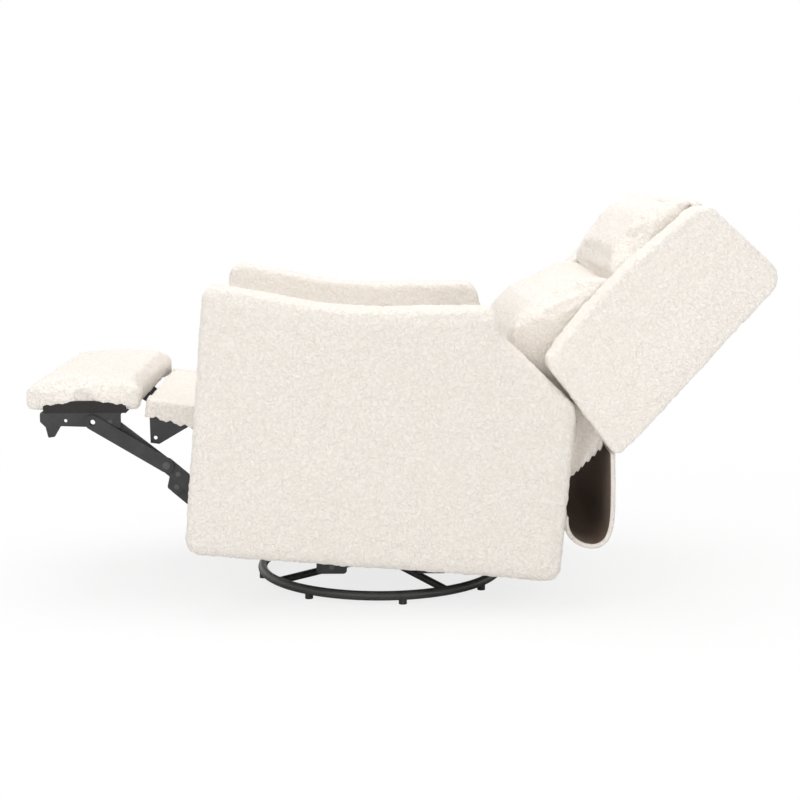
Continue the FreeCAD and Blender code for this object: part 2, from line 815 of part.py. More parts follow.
tilt_x = s.tilt_u * cosine(s.body_lean) + s.tilt_w * sine(s.body_lean)
tilt_z = s.tilt_w * cosine(s.body_lean) - s.tilt_u * sine(s.body_lean)
leg_outer = s.glide_pivot_x + s.carriage_leg_half
leg_inner = s.glide_pivot_x - s.carriage_leg_half
leg_bottom = glide_bottom - s.glide_link_half - 2
carriage_front = tilt_x - 18
tube_height = (s.carriage_bar_bottom + s.carriage_bar_top) / 2 + 1
plate_pair("carriage_sides", stand_frame, carriage_layer, s.steel, [
    (-leg_outer, leg_bottom), (-leg_inner, leg_bottom), (-leg_inner, s.carriage_bar_bottom),
    (leg_inner, s.carriage_bar_bottom), (leg_inner, leg_bottom), (leg_outer, leg_bottom),
    (leg_outer, s.carriage_bar_bottom), (s.carriage_rear, s.carriage_bar_bottom),
    (s.carriage_rear, s.carriage_bar_top), (carriage_front, s.carriage_bar_top),
    (carriage_front, s.carriage_bar_bottom), (-leg_outer, s.carriage_bar_bottom)],
    8.0, [(-s.glide_pivot_x, glide_bottom, s.pin_radius), (s.glide_pivot_x, glide_bottom, s.pin_radius),
          (tilt_x, tilt_z, s.tilt_pin + s.running_fit)])
cross_tube("carriage_tubes", stand_frame,
           [(s.carriage_front_tube, tube_height), (s.carriage_rear_tube, tube_height)],
           s.carriage_tube, 2.0, carriage_layer)
pin_pairs("carriage_pins", stand_frame, [(-s.glide_pivot_x, glide_bottom), (s.glide_pivot_x, glide_bottom)],
          s.pin_radius, glide_link_layer - 0.5, carriage_layer + s.steel, s.pin_radius + 3.5,
          glide_link_layer - 0.5 - pin_head, glide_link_layer - 0.5)

# Rubber stops on the rear tube, under the seat rails

stop_gap = 0.3
rail_inner = seat_frame_half - s.rail_thickness
tube_u = s.carriage_rear_tube * cosine(s.body_lean) - tube_height * sine(s.body_lean)
tube_w = s.carriage_rear_tube * sine(s.body_lean) + tube_height * cosine(s.body_lean)
stops = []
for name, side in SIDES.items():
    middle = (rail_inner + seat_frame_half) / 2 * side
    stop = block("stop_stock_" + name, body_frame,
                 (tube_u - s.tilt_stop_size / 2, middle - s.tilt_stop_size / 2, tube_w),
                 (s.tilt_stop_size, s.tilt_stop_size, s.rail_bottom - stop_gap - tube_w))
    tube_core = doc.addObject("Part::Cylinder", "stop_core_" + name)
    bind(tube_core, "Radius", s.carriage_tube)
    bind(tube_core, "Height", s.tilt_stop_size * 2)
    tube_core.Placement = stand_frame * Placement(
        Vector(s.carriage_rear_tube, middle + s.tilt_stop_size, tube_height), Rotation(Vector(1, 0, 0), 90))
    stop_cut = doc.addObject("Part::Cut", "stop_" + name)
    stop_cut.Base = stop
    stop_cut.Tool = tube_core
    stops.append(stop_cut)
group("tilt_stops", stops)

# Tilt brackets under the seat rails, with their pins

bracket_layer = seat_frame_half
bracket = new_body("tilt_brackets", body_frame)
bracket_sketch = new_sketch(bracket, "XZ_Plane", bracket_layer)
draw_outline(bracket_sketch, [
    (s.tilt_u - 18, s.tilt_w - 16), (s.tilt_u + 18, s.tilt_w - 16),
    (s.tilt_u + 34, s.rail_top - 6), (s.tilt_u - 34, s.rail_top - 6)])
draw_circle(bracket_sketch, s.tilt_u, s.tilt_w, s.tilt_pin)
pad(bracket, bracket_sketch, s.tilt_bracket)
mirror_across(bracket)
carriage_outer = carriage_layer + s.steel
pin_pairs("tilt_pins", body_frame, [(s.tilt_u, s.tilt_w)], s.tilt_pin, bracket_layer, carriage_outer + 0.5,
          s.tilt_pin + 4, carriage_outer + 0.5, carriage_outer + 0.5 + pin_head)

# Arms, each a padded box with a wooden board let into its inner face

arm_corners = [(s.arm_front, s.arm_bottom), (s.arm_rear, s.arm_bottom), (s.arm_rear, s.arm_shoulder_w),
               (s.arm_shoulder_u + s.arm_step_in, s.arm_top_rear - s.arm_step_drop),
               (s.arm_shoulder_u, s.arm_top_rear), (-120.0, s.arm_top_dip),
               (s.arm_front, s.arm_top_front)]
arm_radii = [30, 27, 34, 30, 26, 900, 33]
arm_edge = 24.0
board_low = s.arm_bottom + s.board_margin - 6
board_front_u = s.arm_front + s.board_margin
board_length = s.arm_rear - s.arm_front - s.board_margin * 2
arm_boards = []
for name, side in SIDES.items():
    padding = padded_side(side, arm_corners, arm_radii, arm_inner, s.overall_width / 2, 8.0, arm_edge)
    board_y = arm_inner if side == RIGHT else -arm_inner - s.board_thickness
    recess = Part.makeBox(board_length, s.board_thickness, s.board_top - board_low,
                          Vector(board_front_u, board_y, board_low))
    shape_piece("arm_" + name, padding.cut(recess), body_frame)
    arm_boards.append(block("board_" + name, body_frame, (board_front_u, board_y, board_low),
                            (board_length, s.board_thickness, s.board_top - board_low)))
group("arm_boards", arm_boards)

# Seat frame

rail_height = s.rail_top - s.rail_bottom
side_rail_length = s.seat_frame_rear - s.seat_frame_front - s.rail_thickness * 2
end_rails = []
for name, rail_u in (("front", s.seat_frame_front), ("rear", s.seat_frame_rear - s.rail_thickness)):
    end_rails.append(block("end_rail_" + name, body_frame, (rail_u, -seat_frame_half, s.rail_bottom),
                           (s.rail_thickness, seat_frame_half * 2, rail_height)))
group("seat_end_rails", end_rails)
side_rails = []
for name, side in SIDES.items():
    rail_y = rail_inner if side == RIGHT else -seat_frame_half
    side_rails.append(block("side_rail_" + name, body_frame,
                            (s.seat_frame_front + s.rail_thickness, rail_y, s.rail_bottom),
                            (side_rail_length, s.rail_thickness, rail_height)))
group("seat_side_rails", side_rails)
cross_rails = []
for number, centre in enumerate((-s.cross_rail_place, s.cross_rail_place)):
    cross_rails.append(block("cross_rail_%d" % number, body_frame,
                             (centre - s.cross_rail_length / 2, -arm_inner, s.rail_bottom - s.rail_thickness),
                             (s.cross_rail_length, arm_inner * 2, s.rail_thickness)))
group("seat_cross_rails", cross_rails)

spring_height = s.rail_top + s.spring_wire
spring_start = s.seat_frame_front + s.rail_thickness / 2
spring_end = s.seat_frame_rear - s.rail_thickness / 2
spring_pitch = seat_frame_half / 2.25
seat_springs = [sinuous_spring(spring_start, spring_end, middle, 12.0, spring_height, s.spring_wire)
                for middle in (spring_pitch * place for place in (-1.5, -0.5, 0.5, 1.5))]
shape_piece("seat_springs", Part.makeCompound(seat_springs), body_frame)

pad_bottom = spring_height + s.spring_wire
block("seat_pad", body_frame, (s.seat_frame_front + 5, -seat_frame_half, pad_bottom),
      (s.seat_frame_rear - s.seat_frame_front - 20, seat_frame_half * 2, s.seat_pad))

cushion_bottom = pad_bottom + s.seat_pad
cushion_top = cushion_bottom + s.cushion_height
cushion_corners = [(s.cushion_front + 18, cushion_bottom), (s.cushion_rear, cushion_bottom),
                   (s.cushion_rear, cushion_top - 8), (-70.0, cushion_top + s.cushion_crown / 2),
                   (s.cushion_front, cushion_top - 6)]
cushion_half = arm_inner - s.cushion_gap
cushion = crowned_cushion(cushion_corners, [14, 12, 22, 1100, 26], cushion_half, 20.0,
                          s.cushion_crown / 2, (0,))
notch_start = s.recline_u - 32
notch_inner = control_layer - 10
for side in SIDES.values():
    notch_y = notch_inner if side == RIGHT else -arm_inner
    notch_place = Vector(notch_start, notch_y, cushion_bottom - 5)
    cushion = cushion.cut(Part.makeBox(s.cushion_rear - notch_start + 10, arm_inner - notch_inner,
                                       s.cushion_height * 2, notch_place))
shape_piece("seat_cushion", cushion, body_frame)

block("rear_panel", body_frame, (s.arm_rear - 3 - s.rear_panel, -arm_inner, s.arm_bottom + 6),
      (s.rear_panel, arm_inner * 2, s.rear_panel_top - s.arm_bottom - 6))

# Side mechanism plates, their tubes and pins

guide_u = s.main_u - s.guide_back
guide_w = s.main_w - s.guide_drop
post_half = 28.0
plate_pair("mechanism_plates", body_frame, plate_layer, s.steel, [
    (s.plate_front, s.plate_bottom), (s.plate_rear, s.plate_bottom), (s.plate_rear, s.plate_top),
    (s.recline_u + post_half, s.plate_top + 40), (s.recline_u + post_half, s.recline_w + 26),
    (s.recline_u - post_half, s.recline_w + 26), (s.recline_u - post_half, s.plate_top + 40),
    (s.recline_u - post_half - 50, s.plate_top), (s.plate_front, s.plate_top)],
    12.0, [(s.main_u, s.main_w, s.pin_radius), (guide_u, guide_w, s.pin_radius),
           (s.recline_u, s.recline_w, s.recline_pin)])
cross_tube("mechanism_tubes", body_frame,
           [(s.front_tube_u, s.front_tube_w), (s.rear_tube_u, s.rear_tube_w)], s.cross_tube, 2.0, plate_layer)
group("mechanism_pins", [
    pin_pairs("main_link_pins", body_frame, [(s.main_u, s.main_w)], s.pin_radius, main_layer - 0.5,
              arm_inner, s.pin_radius + 3, main_layer - 0.5 - 1.2, main_layer - 0.5),
    pin_pairs("guide_link_pins", body_frame, [(guide_u, guide_w)], s.pin_radius, guide_layer - 0.5,
              arm_inner, s.pin_radius + 3, guide_layer - 0.5 - 2, guide_layer - 0.5)])
pin_pairs("recline_pins", body_frame, [(s.recline_u, s.recline_w)], s.recline_pin, control_layer - 0.5,
          arm_inner, s.recline_pin + 5, control_layer - 0.5 - pin_head, control_layer - 0.5)

# Footrest links

link_hole = s.pin_radius + s.running_fit
strap_pair("footrest_main_links", main_frame, main_layer, control_reach, s.link_half, s.steel,
           [(0.0, 0.0, link_hole), (s.main_length, 0.0, s.pin_radius), (control_reach, 0.0, s.pin_radius)])
strap_pair("footrest_guide_links", guide_frame, guide_layer, s.main_length, s.link_half, s.steel,
           [(0.0, 0.0, link_hole), (s.main_length, 0.0, s.pin_radius + 1)])
group("knee_pins", [
    pin_pairs("lift_link_pins", main_frame, [(s.main_length, 0.0)], s.pin_radius, lift_layer - 0.5,
              main_layer + s.steel, s.pin_radius + 3, lift_layer - 0.5 - 1.2, lift_layer - 0.5),
    pin_pairs("control_link_pins", main_frame, [(control_reach, 0.0)], s.pin_radius, main_layer,
              control_layer + s.steel + 0.5, s.pin_radius + 3, control_layer + s.steel + 0.5,
              control_layer + s.steel + 1.5)])

lift_length = math.hypot(s.lift_forward, s.lift_rise)
lift = new_body("footrest_lift_links", lift_frame)
lift_sketch = new_sketch(lift, "XZ_Plane", lift_layer)
ear_turn = math.atan2(s.lift_rise, -s.lift_forward)
ear_x = -s.guide_back * math.cos(ear_turn) - s.guide_drop * math.sin(ear_turn)
ear_z = s.guide_back * math.sin(ear_turn) - s.guide_drop * math.cos(ear_turn)
lift_corners = [(-14.0, -13.0), (lift_length + 13, -12.0), (lift_length + 13, 12.0), (12.0, 13.0),
                (ear_x + 14, ear_z + 13), (ear_x - 12, ear_z + 13), (ear_x - 14, ear_z - 6)]
draw_outline(lift_sketch, lift_corners)
for hole_x, hole_z, hole_radius in ((0.0, 0.0, link_hole), (lift_length, 0.0, link_hole),
                                    (ear_x, ear_z, s.pin_radius)):
    draw_circle(lift_sketch, hole_x, hole_z, hole_radius)
lift_pad = pad(lift, lift_sketch, s.steel)
round_corners(lift, lift_pad, lift_corners, 7.0)
mirror_across(lift)
pin_pairs("guide_end_pins", lift_frame, [(ear_x, ear_z)], s.pin_radius, guide_layer - 0.5,
          lift_layer + s.steel, s.pin_radius + 3, guide_layer - 0.5 - 2, guide_layer - 0.5)

control_length = math.hypot(control_end_u - control_u, control_end_w - control_w)
strap_pair("footrest_control_links", control_frame, control_layer, control_length, s.link_half, s.steel,
           [(0.0, 0.0, link_hole), (control_length, 0.0, s.pin_radius + 1)])

# Footrest brackets, board and pad

holder_corners = [(-142.0, 1.0), (-131.0, -10.0), (-126.0, -32.0), (-113.0, -30.0), (-100.0, -8.0),
                  (22.0, -12.0), (22.0, s.board_low), (-142.0, s.board_low)]
holder = side_plate("footrest_brackets", LEFT, footrest_frame, main_layer, s.steel, holder_corners, 3.0,
                    [(0.0, 0.0, s.pin_radius), (-s.control_hole, 0.0, s.pin_radius), (-90.0, 3.0, 3.5)])
flange_sketch = new_sketch(holder, "XZ_Plane", main_layer)
draw_outline(flange_sketch, [(-142.0, s.board_low - 3), (22.0, s.board_low - 3),
                             (22.0, s.board_low), (-142.0, s.board_low)])
pad(holder, flange_sketch, 28.0, True)
mirror_across(holder)
footrest_inner = main_layer + s.steel
block("footrest_board", footrest_frame, (s.board_front, -footrest_inner, s.board_low),
      (s.board_back - s.board_front, footrest_inner * 2, s.board_depth))
pin_pairs("footrest_pins", footrest_frame, [(0.0, 0.0)], s.pin_radius, lift_layer - 0.5,
          main_layer + s.steel, s.pin_radius + 3, lift_layer - 0.5 - 1.2, lift_layer - 0.5)

pad_low = s.board_low + s.board_depth
footrest_corners = [(s.footrest_front, pad_low), (s.footrest_back, pad_low),
                    (s.footrest_back + 2, pad_low + s.footrest_depth - 4),
                    (-60.0, pad_low + s.footrest_depth + 2),
                    (s.footrest_front - 1, pad_low + s.footrest_depth - 8)]
footrest_pad = crowned_cushion(footrest_corners, [12, 12, 17, 500, 17], footrest_half, 18.0, 5.0, (0,))
shape_piece("footrest_pad", footrest_pad, footrest_frame)

# Flap, its hinge pin and brackets

flap_thick = s.flap_thickness / 2
flap_corners = [(-s.flap_length, -flap_thick), (flap_thick - 0.5, -flap_thick),
                (flap_thick - 0.5, flap_thick), (-s.flap_length, flap_thick)]
flap = crowned_cushion(flap_corners, [9, 9, 9, 9], flap_half, 8.0, 1.5, (1,))
hinge_pin_radius = 3.0
hinge_bore = Part.makeCylinder(hinge_pin_radius + s.running_fit, flap_half * 3,
                               Vector(0, -flap_half * 1.5, 0), ACROSS)
shape_piece("flap_pad", flap.cut(hinge_bore), flap_frame)
pin_lug = [(-5.0, -5.0), (s.seat_frame_front - s.flap_u, -9.0), (s.seat_frame_front - s.flap_u, 5.0),
           (-5.0, 5.0)]
hinge_half = flap_half + 8
hinge = new_body("flap_hinge", turned(body_frame, s.flap_u, flap_w, 0))
hinge_sketch = new_sketch(hinge, "XZ_Plane", -hinge_half)
draw_circle(hinge_sketch, 0.0, 0.0, hinge_pin_radius)
pad(hinge, hinge_sketch, hinge_half * 2)
for side in SIDES.values():
    lug_sketch = new_sketch(hinge, "XZ_Plane", (flap_half + 1) * -side)
    draw_outline(lug_sketch, pin_lug)
    pad(hinge, lug_sketch, s.steel, side == RIGHT)
    tab_sketch = new_sketch(hinge, "XZ_Plane", (flap_half + 1) * -side)
    draw_outline(tab_sketch, [(s.seat_frame_front - s.flap_u - 2, -40.0), (s.seat_frame_front - s.flap_u, -40.0),
                              (s.seat_frame_front - s.flap_u, 5.0), (s.seat_frame_front - s.flap_u - 2, 5.0)])
    pad(hinge, tab_sketch, s.steel, side == RIGHT)
    foot_sketch = new_sketch(hinge, "XZ_Plane", (flap_half + 1) * -side)
    draw_outline(foot_sketch, [(s.seat_frame_front - s.flap_u - 2, -40.0), (s.seat_frame_front - s.flap_u, -40.0),
                               (s.seat_frame_front - s.flap_u, -14.0), (s.seat_frame_front - s.flap_u - 2, -14.0)])
    pad(hinge, foot_sketch, 30.0, side == LEFT)

bracket_end = s.flap_length - 10
flap_seat = -flap_thick - 0.5
flap_holder = new_body("flap_brackets", flap_frame)
flange = new_sketch(flap_holder, "XZ_Plane", flap_half - 30)
draw_outline(flange, [(-bracket_end, -flap_thick - 5), (-bracket_end + 90, -flap_thick - 5),
                      (-bracket_end + 90, flap_seat), (-bracket_end, flap_seat)])
pad(flap_holder, flange, flap_bracket_layer - flap_half + 30)
web = new_sketch(flap_holder, "XZ_Plane", flap_bracket_layer)
draw_outline(web, [(-bracket_end, flap_seat), (-bracket_end, -flap_thick - 20),
                   (-bracket_end + 8, -82.0), (-bracket_end + 26, -82.0),
                   (-bracket_end + 90, -flap_thick - 20), (-bracket_end + 90, flap_seat)])
draw_circle(web, -bracket_end + 17, -70.0, 4.0)
pad(flap_holder, web, s.steel)
mirror_across(flap_holder)

# Back: steel brackets, wooden posts and rails, springs

post_front = s.back_rear - s.back_shell - s.post_depth
post_outer = control_layer
post_low = s.back_low + 6
post_high = s.back_top - 16
plate_pair("back_brackets", back_frame, control_layer, s.steel, [
    (-24.0, -18.0), (10.0, -26.0), (post_front + 20, s.back_low - 50), (post_front + 44, s.back_low - 20),
    (post_front + 44, s.back_low + 140), (post_front + 6, s.back_low + 140),
    (post_front + 4, s.back_low - 4), (-10.0, 26.0), (-26.0, 10.0)],
    8.0, [(0.0, 0.0, s.recline_pin + s.running_fit)])

posts = []
for name, side in SIDES.items():
    post_y = post_outer - s.post_thickness if side == RIGHT else -post_outer
    posts.append(block("post_" + name, back_frame, (post_front, post_y, post_low),
                       (s.post_depth, s.post_thickness, post_high - post_low)))
group("back_posts", posts)

rail_half = post_outer - s.post_thickness
back_rails_links = []
rail_places = (post_low, (post_low + post_high - s.back_rail) / 2, post_high - s.back_rail)
for number, rail_w in enumerate(rail_places):
    back_rails_links.append(block("back_rail_%d" % number, back_frame, (post_front, -rail_half, rail_w),
                                  (s.post_depth, rail_half * 2, s.back_rail)))
group("back_rails", back_rails_links)

back_spring_place = turned(back_frame, post_front - s.spring_wire, 0, -90)
back_spring_pitch = rail_half / 2.29
back_springs = [sinuous_spring(post_low + 20, post_high - 20, middle, 12.0, 0.0, s.spring_wire)
                for middle in (back_spring_pitch * place for place in (-1.5, -0.5, 0.5, 1.5))]
shape_piece("back_springs", Part.makeCompound(back_springs), back_spring_place)

# Back: padded wings, rear shell, lumbar cushion and head pillow

wing_corners = [(s.back_rear, s.back_low - 2), (s.back_rear - 2, s.back_top), (s.wing_top_u, s.back_top - 2),
                (s.wing_upper_u, s.wing_upper_w), (s.wing_front_u, s.wing_front_w),
                (s.wing_lower_u, s.wing_lower_w), (s.wing_foot_u, s.wing_foot_w)]
wing_radii = [14, 48, 30, 300, 120, 26, 300]
for name, side in SIDES.items():
    wing = padded_side(side, wing_corners, wing_radii, back_half, back_half + s.wing_thickness,
                       s.wing_seam_edge, s.wing_face_edge)
    shape_piece("back_wing_" + name, wing, back_frame)

shell_inner = s.back_rear - s.back_shell
shell_corners = [(shell_inner, s.back_low), (s.back_rear, s.back_low), (s.back_rear - 2, s.back_top),
                 (s.shell_lip_u, s.back_top), (s.shell_lip_u, post_high), (shell_inner, post_high)]
shell_wire = rounded_wire(shell_corners, [3, 14, 48, 5, 3, 0], -back_half)
shell = Part.Face(shell_wire).extrude(Vector(0, back_half * 2, 0))
shape_piece("back_shell", shell, back_frame)

spring_front = post_front - s.spring_wire * 2
lumbar_corners = [(spring_front, s.lumbar_low), (spring_front, s.lumbar_high),
                  (s.lumbar_top_u, s.lumbar_high), (s.lumbar_front_u, s.lumbar_front_w),
                  (s.lumbar_under_u, s.lumbar_under_w),
                  (s.lumbar_foot_u, s.lumbar_foot_w)]
lumbar = crowned_cushion(lumbar_corners, [10, 12, 26, 26, 30, 26], lumbar_half, 24.0, 9.0, (0, 1, 4, 5))
shape_piece("lumbar_cushion", lumbar, back_frame)

pillow_corners = [(spring_front, s.pillow_low), (spring_front, post_high - 1),
                  (s.pillow_crest_u, post_high - 1),
                  (s.pillow_front_u, s.pillow_front_w), (s.pillow_foot_u, s.pillow_low)]
pillow = crowned_cushion(pillow_corners, [8, 8, 60, 34, 28], pillow_half, 24.0, 8.0, (0, 1, 4))
shape_piece("head_pillow", pillow, back_frame)

# Skirt: cloth that hangs in a slack loop behind the seat

skirt_foot = s.arm_rear + 0.3
skirt_route = [(437.0, 367.5), (447.0, 300.0), (456.0, 206.0), (436.0, 166.0), (392.0, 166.0),
               (skirt_foot, 196.0), (skirt_foot, 226.0)]
skirt_bend = [60.0, 45.0, 24.0, 30.0, 24.0]


def skirt_edges(route, bends):
    """Lines and tangent arcs along an open route in the side view."""
    points = [Vector(u, -skirt_half, w) for u, w in route]
    edges = []
    start = points[0]
    for index, bend in enumerate(bends, 1):
        corner = points[index]
        before = (points[index - 1] - corner).normalize()
        after = (points[index + 1] - corner).normalize()
        half_angle = before.getAngle(after) / 2
        reach = bend / math.tan(half_angle)
        arc_start = corner + before * reach
        arc_end = corner + after * reach
        middle = corner + (before + after).normalize() * (bend / math.sin(half_angle) - bend)
        edges.append(Part.LineSegment(start, arc_start).toShape())
        edges.append(Part.Arc(arc_start, middle, arc_end).toShape())
        start = arc_end
    edges.append(Part.LineSegment(start, points[-1]).toShape())
    return edges


skirt_line = Part.Wire(skirt_edges(skirt_route, skirt_bend))
skirt_cloth = skirt_line.extrude(Vector(0, skirt_half * 2, 0))
skirt_solid = skirt_cloth.makeOffsetShape(s.skirt_thickness, 0.01, fill=True)
shape_piece("rear_skirt", skirt_solid, body_frame)

doc.recompute()

NODES = [
    "floor_ring", "ring_feet", "ring_spokes", "ring_hub", "swivel_spindle", "lower_bearing_race",
    "bearing_balls", "bearing_cage", "upper_bearing_race", "spindle_nut", "swivel_plate",
    "stand_crossbars", "stand_sides", "stand_pins", "front_glide_links", "rear_glide_links",
    "carriage_sides", "carriage_tubes", "carriage_pins", "tilt_stops", "tilt_brackets", "tilt_pins",
    "arm_left", "arm_right", "arm_boards", "seat_end_rails", "seat_side_rails", "seat_cross_rails",
    "seat_springs", "seat_pad", "seat_cushion", "rear_panel", "mechanism_plates", "mechanism_tubes",
    "mechanism_pins", "recline_pins", "footrest_main_links", "footrest_guide_links", "knee_pins",
    "footrest_lift_links", "guide_end_pins", "footrest_control_links", "footrest_brackets",
    "footrest_board", "footrest_pins", "footrest_pad", "flap_pad", "flap_hinge", "flap_brackets",
    "back_brackets", "back_posts", "back_rails", "back_springs", "back_wing_left",
    "back_wing_right", "back_shell", "lumbar_cushion", "head_pillow", "rear_skirt",
]

for item in doc.Objects:
    if "Invalid" in item.State or "Error" in item.State:
        raise ValueError("%s did not recompute" % item.Label)

os.makedirs("parts", exist_ok=True)
for label in NODES:
    shape = doc.getObjectsByLabel(label)[0].Shape
    if shape.isNull() or not shape.isValid() or shape.Volume <= 0:
        raise ValueError("%s has no valid solid" % label)
for label in NODES:
    doc.getObjectsByLabel(label)[0].Shape.exportStep("parts/%s.step" % label)
print("wrote %d nodes" % len(NODES))
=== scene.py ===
import math

import bmesh
import bpy
import numpy as np
from mathutils import Matrix, Vector
from mathutils.kdtree import KDTree


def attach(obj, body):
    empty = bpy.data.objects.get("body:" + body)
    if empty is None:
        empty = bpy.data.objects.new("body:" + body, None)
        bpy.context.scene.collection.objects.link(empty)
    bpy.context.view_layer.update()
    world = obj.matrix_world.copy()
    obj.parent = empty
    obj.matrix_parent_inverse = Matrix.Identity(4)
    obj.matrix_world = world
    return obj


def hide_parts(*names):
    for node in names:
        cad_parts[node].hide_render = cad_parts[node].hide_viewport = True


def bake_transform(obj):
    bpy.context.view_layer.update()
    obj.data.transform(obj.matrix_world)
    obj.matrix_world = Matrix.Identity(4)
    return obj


bl_info = {
    "name": "Swivel glider recliner",
    "version": (1, 0, 0),
    "blender": (4, 5, 0),
    "location": "3D View > Sidebar > Recliner",
    "description": "Dresses the recliner's frame with padded covers, cloth, paint and a plain studio",
    "category": "Object",
}

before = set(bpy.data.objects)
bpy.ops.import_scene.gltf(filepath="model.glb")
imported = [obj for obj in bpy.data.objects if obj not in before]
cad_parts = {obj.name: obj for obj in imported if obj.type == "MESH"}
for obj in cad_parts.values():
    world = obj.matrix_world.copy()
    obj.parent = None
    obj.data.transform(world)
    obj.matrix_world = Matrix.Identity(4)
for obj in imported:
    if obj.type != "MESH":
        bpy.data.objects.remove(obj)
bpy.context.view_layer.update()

MM = 0.001
SEAT_LEAN = 4.67
RECLINE = 37.4
TOUCHING = 1e-6


def leaning(x, z, degrees):
    """A side view frame, placed in millimetres, that leans back by some degrees."""
    return Matrix.Translation((x * MM, 0, z * MM)) @ Matrix.Rotation(math.radians(degrees), 4, "Y")


def at(place, x, y, z):
    """A point given in millimetres of a frame."""
    return place @ Vector((x * MM, y * MM, z * MM))


SEAT = leaning(-24.0, 0.0, SEAT_LEAN)
BACK = leaning(144.845, 347.407, SEAT_LEAN + RECLINE)
FOOTREST = leaning(-577.991, 387.01, 0.0)
FLAP = leaning(-317.634, 397.225, 8.0)

# Sizes and colours that a user would change


class StudioSettings(bpy.types.PropertyGroup):
    """Where the camera stands and how the studio is lit"""

    camera_place: bpy.props.FloatVectorProperty(
        name="Camera place", description="Where the camera stands", size=3, subtype="TRANSLATION",
        unit="LENGTH", default=(-0.0548, -3.4888, 0.9197))
    camera_pitch: bpy.props.FloatProperty(
        name="Look down", description="How far the camera looks down", subtype="ANGLE",
        default=math.radians(8.626))
    camera_yaw: bpy.props.FloatProperty(
        name="Turn right", description="How far the camera turns to its right", subtype="ANGLE",
        default=math.radians(1.215))
    lens: bpy.props.FloatProperty(
        name="Lens", description="Focal length in millimetres", default=71.81, min=10)
    sky: bpy.props.FloatProperty(
        name="Sky", description="Strength of the light from all round", default=0.52, min=0)
    key: bpy.props.FloatProperty(
        name="Key lamp", description="Power of the large lamp in front", subtype="POWER", default=62.0, min=0)
    top: bpy.props.FloatProperty(
        name="Top lamp", description="Power of the lamp overhead", subtype="POWER", default=66.0, min=0)


class PileSettings(bpy.types.PropertyGroup):
    """The curly ivory pile of the covers"""

    # The tips' colour is the pile where it is lit; the roots' colour is painted shade for the hollows between
    # the curls.
    tip: bpy.props.FloatVectorProperty(
        name="Tips", description="Colour of the curls' tips", size=3, subtype="COLOR",
        default=(0.95, 0.905, 0.85), min=0, max=1)
    root: bpy.props.FloatVectorProperty(
        name="Shaded roots", description="Colour between the curls", size=3, subtype="COLOR",
        default=(0.86, 0.80, 0.73), min=0, max=1)
    curl: bpy.props.FloatProperty(
        name="Curl", description="Width of one curl", unit="LENGTH", default=0.0062, min=0.002)
    relief: bpy.props.FloatProperty(
        name="Relief", description="Height of the curls", unit="LENGTH", default=0.0036, min=0)
    lift: bpy.props.FloatProperty(
        name="Uneven outline", description="How far tufts stand out of the cloth", unit="LENGTH",
        default=0.0042, min=0)
    backing: bpy.props.FloatVectorProperty(
        name="Backing", description="Colour of the cloth's inner side", size=3, subtype="COLOR",
        default=(0.135, 0.092, 0.062), min=0, max=1)


class PaddingSettings(bpy.types.PropertyGroup):
    """How the cushions are made"""

    grain: bpy.props.FloatProperty(
        name="Grain", description="Distance between the points of a cover", unit="LENGTH",
        default=0.0052, min=0.003)
    pressure: bpy.props.FloatProperty(
        name="Filling", description="Pressure that swells a cushion", default=4.0, min=0)
    swell: bpy.props.FloatProperty(
        name="Swell", description="Most that a cushion may swell, before its own share", unit="LENGTH",
        default=0.024, min=0)
    seam_depth: bpy.props.FloatProperty(
        name="Seam depth", description="Depth of a sewn seam", unit="LENGTH", default=0.0038, min=0)
    seam_width: bpy.props.FloatProperty(
        name="Seam width", description="Width of the valley at a seam", unit="LENGTH", default=0.007, min=0)


class MetalSettings(bpy.types.PropertyGroup):
    """Paint and steel of the base and the linkages"""

    ring_paint: bpy.props.FloatVectorProperty(
        name="Ring paint", description="Colour of the floor ring", size=3, subtype="COLOR",
        default=(0.045, 0.046, 0.044), min=0, max=1)
    black_paint: bpy.props.FloatVectorProperty(
        name="Black paint", description="Colour of the linkages", size=3, subtype="COLOR",
        default=(0.022, 0.022, 0.023), min=0, max=1)
    steel: bpy.props.FloatVectorProperty(
        name="Steel", description="Colour of springs and bearings", size=3, subtype="COLOR",
        default=(0.55, 0.55, 0.54), min=0, max=1)


class TimberSettings(bpy.types.PropertyGroup):
    """Wooden rails and boards"""

    light: bpy.props.FloatVectorProperty(
        name="Light grain", description="Colour between the grain lines", size=3, subtype="COLOR",
        default=(0.60, 0.42, 0.24), min=0, max=1)
    dark: bpy.props.FloatVectorProperty(
        name="Dark grain", description="Colour of the grain lines", size=3, subtype="COLOR",
        default=(0.36, 0.22, 0.11), min=0, max=1)


# Shader node groups and materials


def new_group(name, inputs, outputs):
    """A shader node group with named number, colour and vector sockets."""
    group = bpy.data.node_groups.new(name, "ShaderNodeTree")
    for label, kind, default in inputs:
        socket = group.interface.new_socket(label, in_out="INPUT", socket_type=kind)
        if default is not None:
            socket.default_value = default
    for label, kind in outputs:
        group.interface.new_socket(label, in_out="OUTPUT", socket_type=kind)
    return group, group.nodes.new("NodeGroupInput"), group.nodes.new("NodeGroupOutput")


